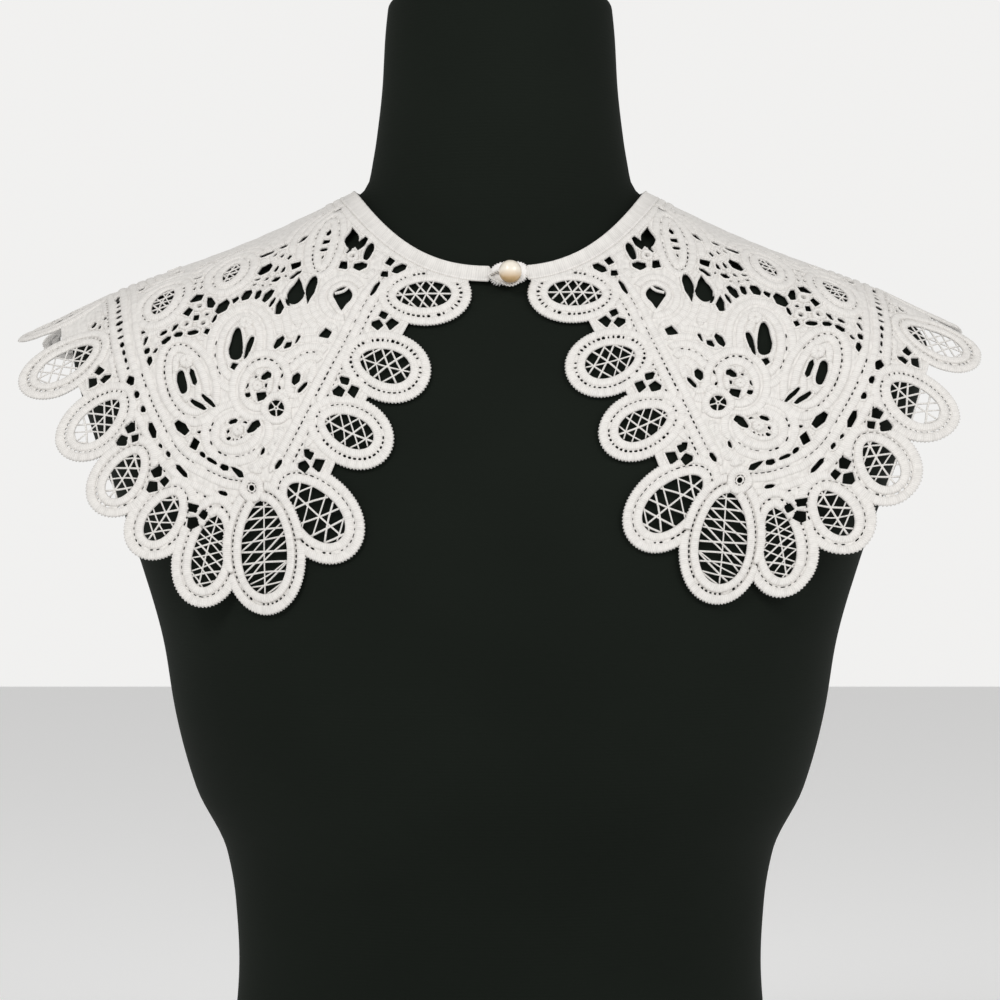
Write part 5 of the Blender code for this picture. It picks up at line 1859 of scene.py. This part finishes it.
def new_material(name: str, **sockets: float | tuple) -> bpy.types.Material:
    """A material whose shader has its plain values set.

    Args:
        name: The material's name.
        sockets: Values by socket name, with underscores for spaces.

    Returns:
        The material.
    """
    material = bpy.data.materials.new(name)
    material.use_nodes = True
    shader = material.node_tree.nodes["Principled BSDF"]
    for key, value in sockets.items():
        shader.inputs[key.replace("_", " ")].default_value = value
    return material


def finished(material: bpy.types.Material, height: Output, strength: float, depth: float,
             share: Output | None = None, colours: tuple[str, ...] = ()) -> bpy.types.Material:
    """Joins a material's relief and its colours to its shader.

    Args:
        material: The material.
        height: What raises it.
        strength: How strongly it is raised.
        depth: How high, in millimetres.
        share: How much of the second colour shows.
        colours: The two colours that it lies between, if it isn't plain.

    Returns:
        The material.
    """
    tree = material.node_tree
    shader = tree.nodes["Principled BSDF"]
    bump = add_node(tree, "ShaderNodeBump", {"Strength": strength, "Distance": depth * MM},
                    {"Height": height})
    tree.links.new(bump.outputs["Normal"], shader.inputs["Normal"])
    if share is not None:
        colour = add_node(tree, "ShaderNodeMix", {"data_type": "RGBA"}, {"Factor": share})
        for socket, code in zip(MIX_COLOURS, colours):
            colour.inputs[socket].default_value = linear(code)
        tree.links.new(colour.outputs[MIX_RESULT], shader.inputs["Base Color"])
    return material


@dataclass(frozen=True)
class StitchedCotton:
    """Mercerised cotton, machine-stitched: matt white with a faint lustre across the stitches."""

    name: str
    light: str = "#DEDBD7"
    shade: str = "#CDCAC6"
    thread: float = 0.9          # real stitches lie 0.4 mm apart; drawn coarser so that they show
    bundle: float = 1.8          # groups of stitches that lie a little higher
    depth: float = 0.1
    share: float = 0.8           # how far uneven bundles hide the single stitches
    roughness: float = 0.8

    def material(self) -> bpy.types.Material:
        """The stitched finish, its threads running across the band.

        Returns:
            The material.
        """
        made = new_material(self.name, Roughness=self.roughness, Sheen_Weight=0.12,
                            Sheen_Roughness=0.5, Specular_IOR_Level=0.3)
        tree = made.node_tree
        place = add_node(tree, "ShaderNodeUVMap", {"uv_map": "stitches"})
        threads = add_node(tree, "ShaderNodeTexWave",
                           {"bands_direction": "X", "Scale": wave_scale(self.thread),
                            "Distortion": 3.5, "Detail": 3.0, "Detail Scale": 2.0},
                           {"Vector": (place, "UV")})
        stretched = add_node(tree, "ShaderNodeMapping", {"Scale": (1.0, 0.45, 1.0)},
                             {"Vector": (place, "UV")})
        bundles = add_node(tree, "ShaderNodeTexNoise",
                           {"Scale": 1 / (self.bundle * MM), "Detail": 4.0},
                           {"Vector": (stretched, "Vector")})
        height = add_node(tree, "ShaderNodeMix", {"Factor": self.share},
                          {"A": (threads, "Fac"), "B": (bundles, "Fac")})
        # the stitches' low parts take the shade colour and their high parts the light one: painted
        # shade in the grooves
        painted_groove_shade = add_node(tree, "ShaderNodeMapRange", {"From Min": 0.3, "From Max": 0.6},
                        {"Value": (height, "Result")})
        return finished(made, (height, "Result"), 0.7, self.depth, (painted_groove_shade, "Result"),
                        (self.shade, self.light))


@dataclass(frozen=True)
class KnitCover:
    """Black cotton jersey stretched over the form: near black, its loops only a faint grain."""

    name: str = "jersey_knitted"
    dark: str = "#0D110D"
    light: str = "#161B16"
    course: float = 1.5          # real courses lie 0.6 mm apart; drawn coarser so that they show

    def material(self) -> bpy.types.Material:
        """The knitted finish, its courses running round the form.

        Returns:
            The material.
        """
        made = new_material(self.name, Roughness=0.9, Sheen_Weight=0.03, Sheen_Roughness=0.5,
                            Sheen_Tint=linear("#5A6A5C"), Specular_IOR_Level=0.1)
        tree = made.node_tree
        place = add_node(tree, "ShaderNodeTexCoord")
        courses = add_node(tree, "ShaderNodeTexWave",
                           {"bands_direction": "Z", "Scale": wave_scale(self.course),
                            "Distortion": 2.0, "Detail": 2.0, "Detail Scale": 2.0},
                           {"Vector": (place, "Object")})
        fluff = add_node(tree, "ShaderNodeTexNoise", {"Scale": 900.0, "Detail": 4.0},
                         {"Vector": (place, "Object")})
        height = add_node(tree, "ShaderNodeMix", {"Factor": 0.5},
                          {"A": (courses, "Fac"), "B": (fluff, "Fac")})
        cloud = add_node(tree, "ShaderNodeTexNoise", {"Scale": 9.0, "Detail": 2.0},
                         {"Vector": (place, "Object")})
        return finished(made, (height, "Result"), 0.5, 0.1, (cloud, "Fac"),
                        (self.dark, self.light))


@dataclass(frozen=True)
class PearlCoat:
    """ABS ball dipped in pearl lacquer: creamy white, with a golden painted reflection and shade on
    its lower half.
    """

    name: str = "pearl_lacquered"
    body: str = "#E9E1D3"
    # painted reflection and shade: the golden colour given to the ball's lower half
    painted_lower_reflection: str = "#C7A77A"
    rim: str = "#E0C9A8"

    def material(self) -> bpy.types.Material:
        """The lacquered finish.

        Returns:
            The material.
        """
        made = new_material(self.name, Roughness=0.28, Coat_Weight=0.6, Coat_Roughness=0.12,
                            Specular_IOR_Level=0.5, Sheen_Weight=0.15,
                            Sheen_Tint=linear(self.rim))
        tree = made.node_tree
        place = add_node(tree, "ShaderNodeTexCoord")
        cloud = add_node(tree, "ShaderNodeTexNoise", {"Scale": 260.0, "Detail": 3.0},
                         {"Vector": (place, "Object")})
        parts = add_node(tree, "ShaderNodeSeparateXYZ", links={"Vector": (place, "Generated")})
        # the lower part of the ball takes the golden colour: painted reflection and shade, by
        # height
        below = add_node(tree, "ShaderNodeMapRange", {"From Min": 0.58, "From Max": 0.22},
                         {"Value": (parts, "Z")})
        return finished(made, (cloud, "Fac"), 0.15, 0.05, (below, "Result"),
                        (self.body, self.painted_lower_reflection))


@dataclass(frozen=True)
class StudioPaper:
    """Matt white background paper."""

    name: str = "background_paper"
    colour: str = "#FAFAFA"

    def material(self) -> bpy.types.Material:
        """The paper, plain but for its grain.

        Returns:
            The material.
        """
        made = new_material(self.name, Roughness=0.95, Base_Color=linear(self.colour),
                            Emission_Color=linear(self.colour), Emission_Strength=0.15)
        grain = add_node(made.node_tree, "ShaderNodeTexNoise", {"Scale": 500.0})
        return finished(made, (grain, "Fac"), 0.05, 0.1)


# ---------------- the studio
@dataclass(frozen=True)
class Lamp:
    """A soft square lamp, turned to the collar."""

    name: str
    place: tuple[float, float, float]    # in metres
    size: float                          # its width in metres
    power: float                         # in watts
    aim: tuple[float, float, float] = (0.0, 0.0, 0.42)

    def hang(self) -> None:
        """Places the lamp."""
        lamp = bpy.data.lights.new(self.name, "AREA")
        lamp.size = self.size
        lamp.energy = self.power
        thing = bpy.data.objects.new(self.name, lamp)
        thing.location = self.place
        way = Vector(self.aim) - Vector(self.place)
        thing.rotation_euler = way.to_track_quat("-Z", "Y").to_euler()
        bpy.context.scene.collection.objects.link(thing)


@dataclass
class Studio:
    """Pale floor, soft lights and a level camera."""

    distance: float = 1.30       # from the form's axis to the camera, in metres
    height: float = 0.350
    span: float = 0.46           # width of the picture at the form's axis
    sensor: float = 36.0         # the camera's, in millimetres
    floor: float = 4000.0        # from the form to the floor's edges
    horizon: float = 0.88        # strength of the light from all round, and from above and below
    zenith: float = 0.37
    lamps: tuple[Lamp, ...] = (Lamp("key", (-0.8, -1.4, 1.7), 0.7, 15.5),
                               Lamp("fill", (1.2, -1.3, 1.3), 1.0, 11.5))

    def build(self) -> None:
        """Places floor, world, lights and camera."""
        scene = bpy.context.scene
        scene.view_settings.view_transform = "Standard"
        corners = np.array([(-1, -1, 0), (1, -1, 0), (1, 1, 0), (-1, 1, 0)]) * self.floor
        placed("floor", corners, [(0, 1, 2, 3)], StudioPaper().material())
        world = bpy.data.worlds.new("studio")
        scene.world = world
        world.use_nodes = True
        tree = world.node_tree
        way = add_node(tree, "ShaderNodeTexCoord")
        parts = add_node(tree, "ShaderNodeSeparateXYZ", links={"Vector": (way, "Generated")})
        steep = add_node(tree, "ShaderNodeMath", {"operation": "ABSOLUTE"})
        tree.links.new(parts.outputs["Z"], steep.inputs[0])
        glow = add_node(tree, "ShaderNodeMapRange",
                        {"From Min": 0.2, "From Max": 0.6,
                         "To Min": self.horizon, "To Max": self.zenith},
                        {"Value": (steep, "Value")})
        tree.links.new(glow.outputs["Result"], tree.nodes["Background"].inputs["Strength"])
        tree.nodes["Background"].inputs["Color"].default_value = (1.0, 0.995, 0.985, 1.0)
        for lamp in self.lamps:
            lamp.hang()
        camera = bpy.data.cameras.new("camera")
        camera.sensor_width = self.sensor
        camera.lens = self.sensor * self.distance / self.span
        camera.clip_start = 0.01
        eye = bpy.data.objects.new("camera", camera)
        eye.location = (0.0, -self.distance, self.height)
        eye.rotation_euler = (math.pi / 2, 0.0, 0.0)
        scene.collection.objects.link(eye)
        scene.camera = eye


def main() -> None:
    """Builds the form, the collar and the studio."""
    logging.basicConfig(level=logging.INFO, format="%(message)s")
    finishes = {
        "satin": StitchedCotton("cotton_satin_stitched").material(),
        "ground": StitchedCotton("cotton_ground_stitched", bundle=1.5, share=1.0).material(),
        "cord": StitchedCotton("cotton_thread_twisted", thread=1.2, depth=0.08).material(),
        "tape": StitchedCotton("cotton_tape_woven", thread=1.0, bundle=2.4).material(),
        # the tab's cotton is painted lighter than the other bands to offset the button's shade on
        # it: painted light
        "tab": StitchedCotton("cotton_tab_painted_lighter", "#EEEBE8", "#E2DFDC").material(),
    }
    shape = FormShape()
    surface = CollarSurface(shape)
    form = DressForm(shape).build(KnitCover().material())
    pattern = Pattern()
    tape = NeckBand(surface).build(finishes["tape"])
    for side, label in ((-1, "left"), (1, "right")):
        sewn_on = [tape] if side < 0 else []
        HalfCollar(pattern, surface, side, label, finishes).build(form.name, sewn_on)
    ButtonTab(surface).build(finishes["tab"], form.name)
    closure = Closure(surface)
    closure.pearl(PearlCoat().material())
    closure.loop(finishes["cord"])
    Studio().build()


if __name__ == "__main__":
    main()
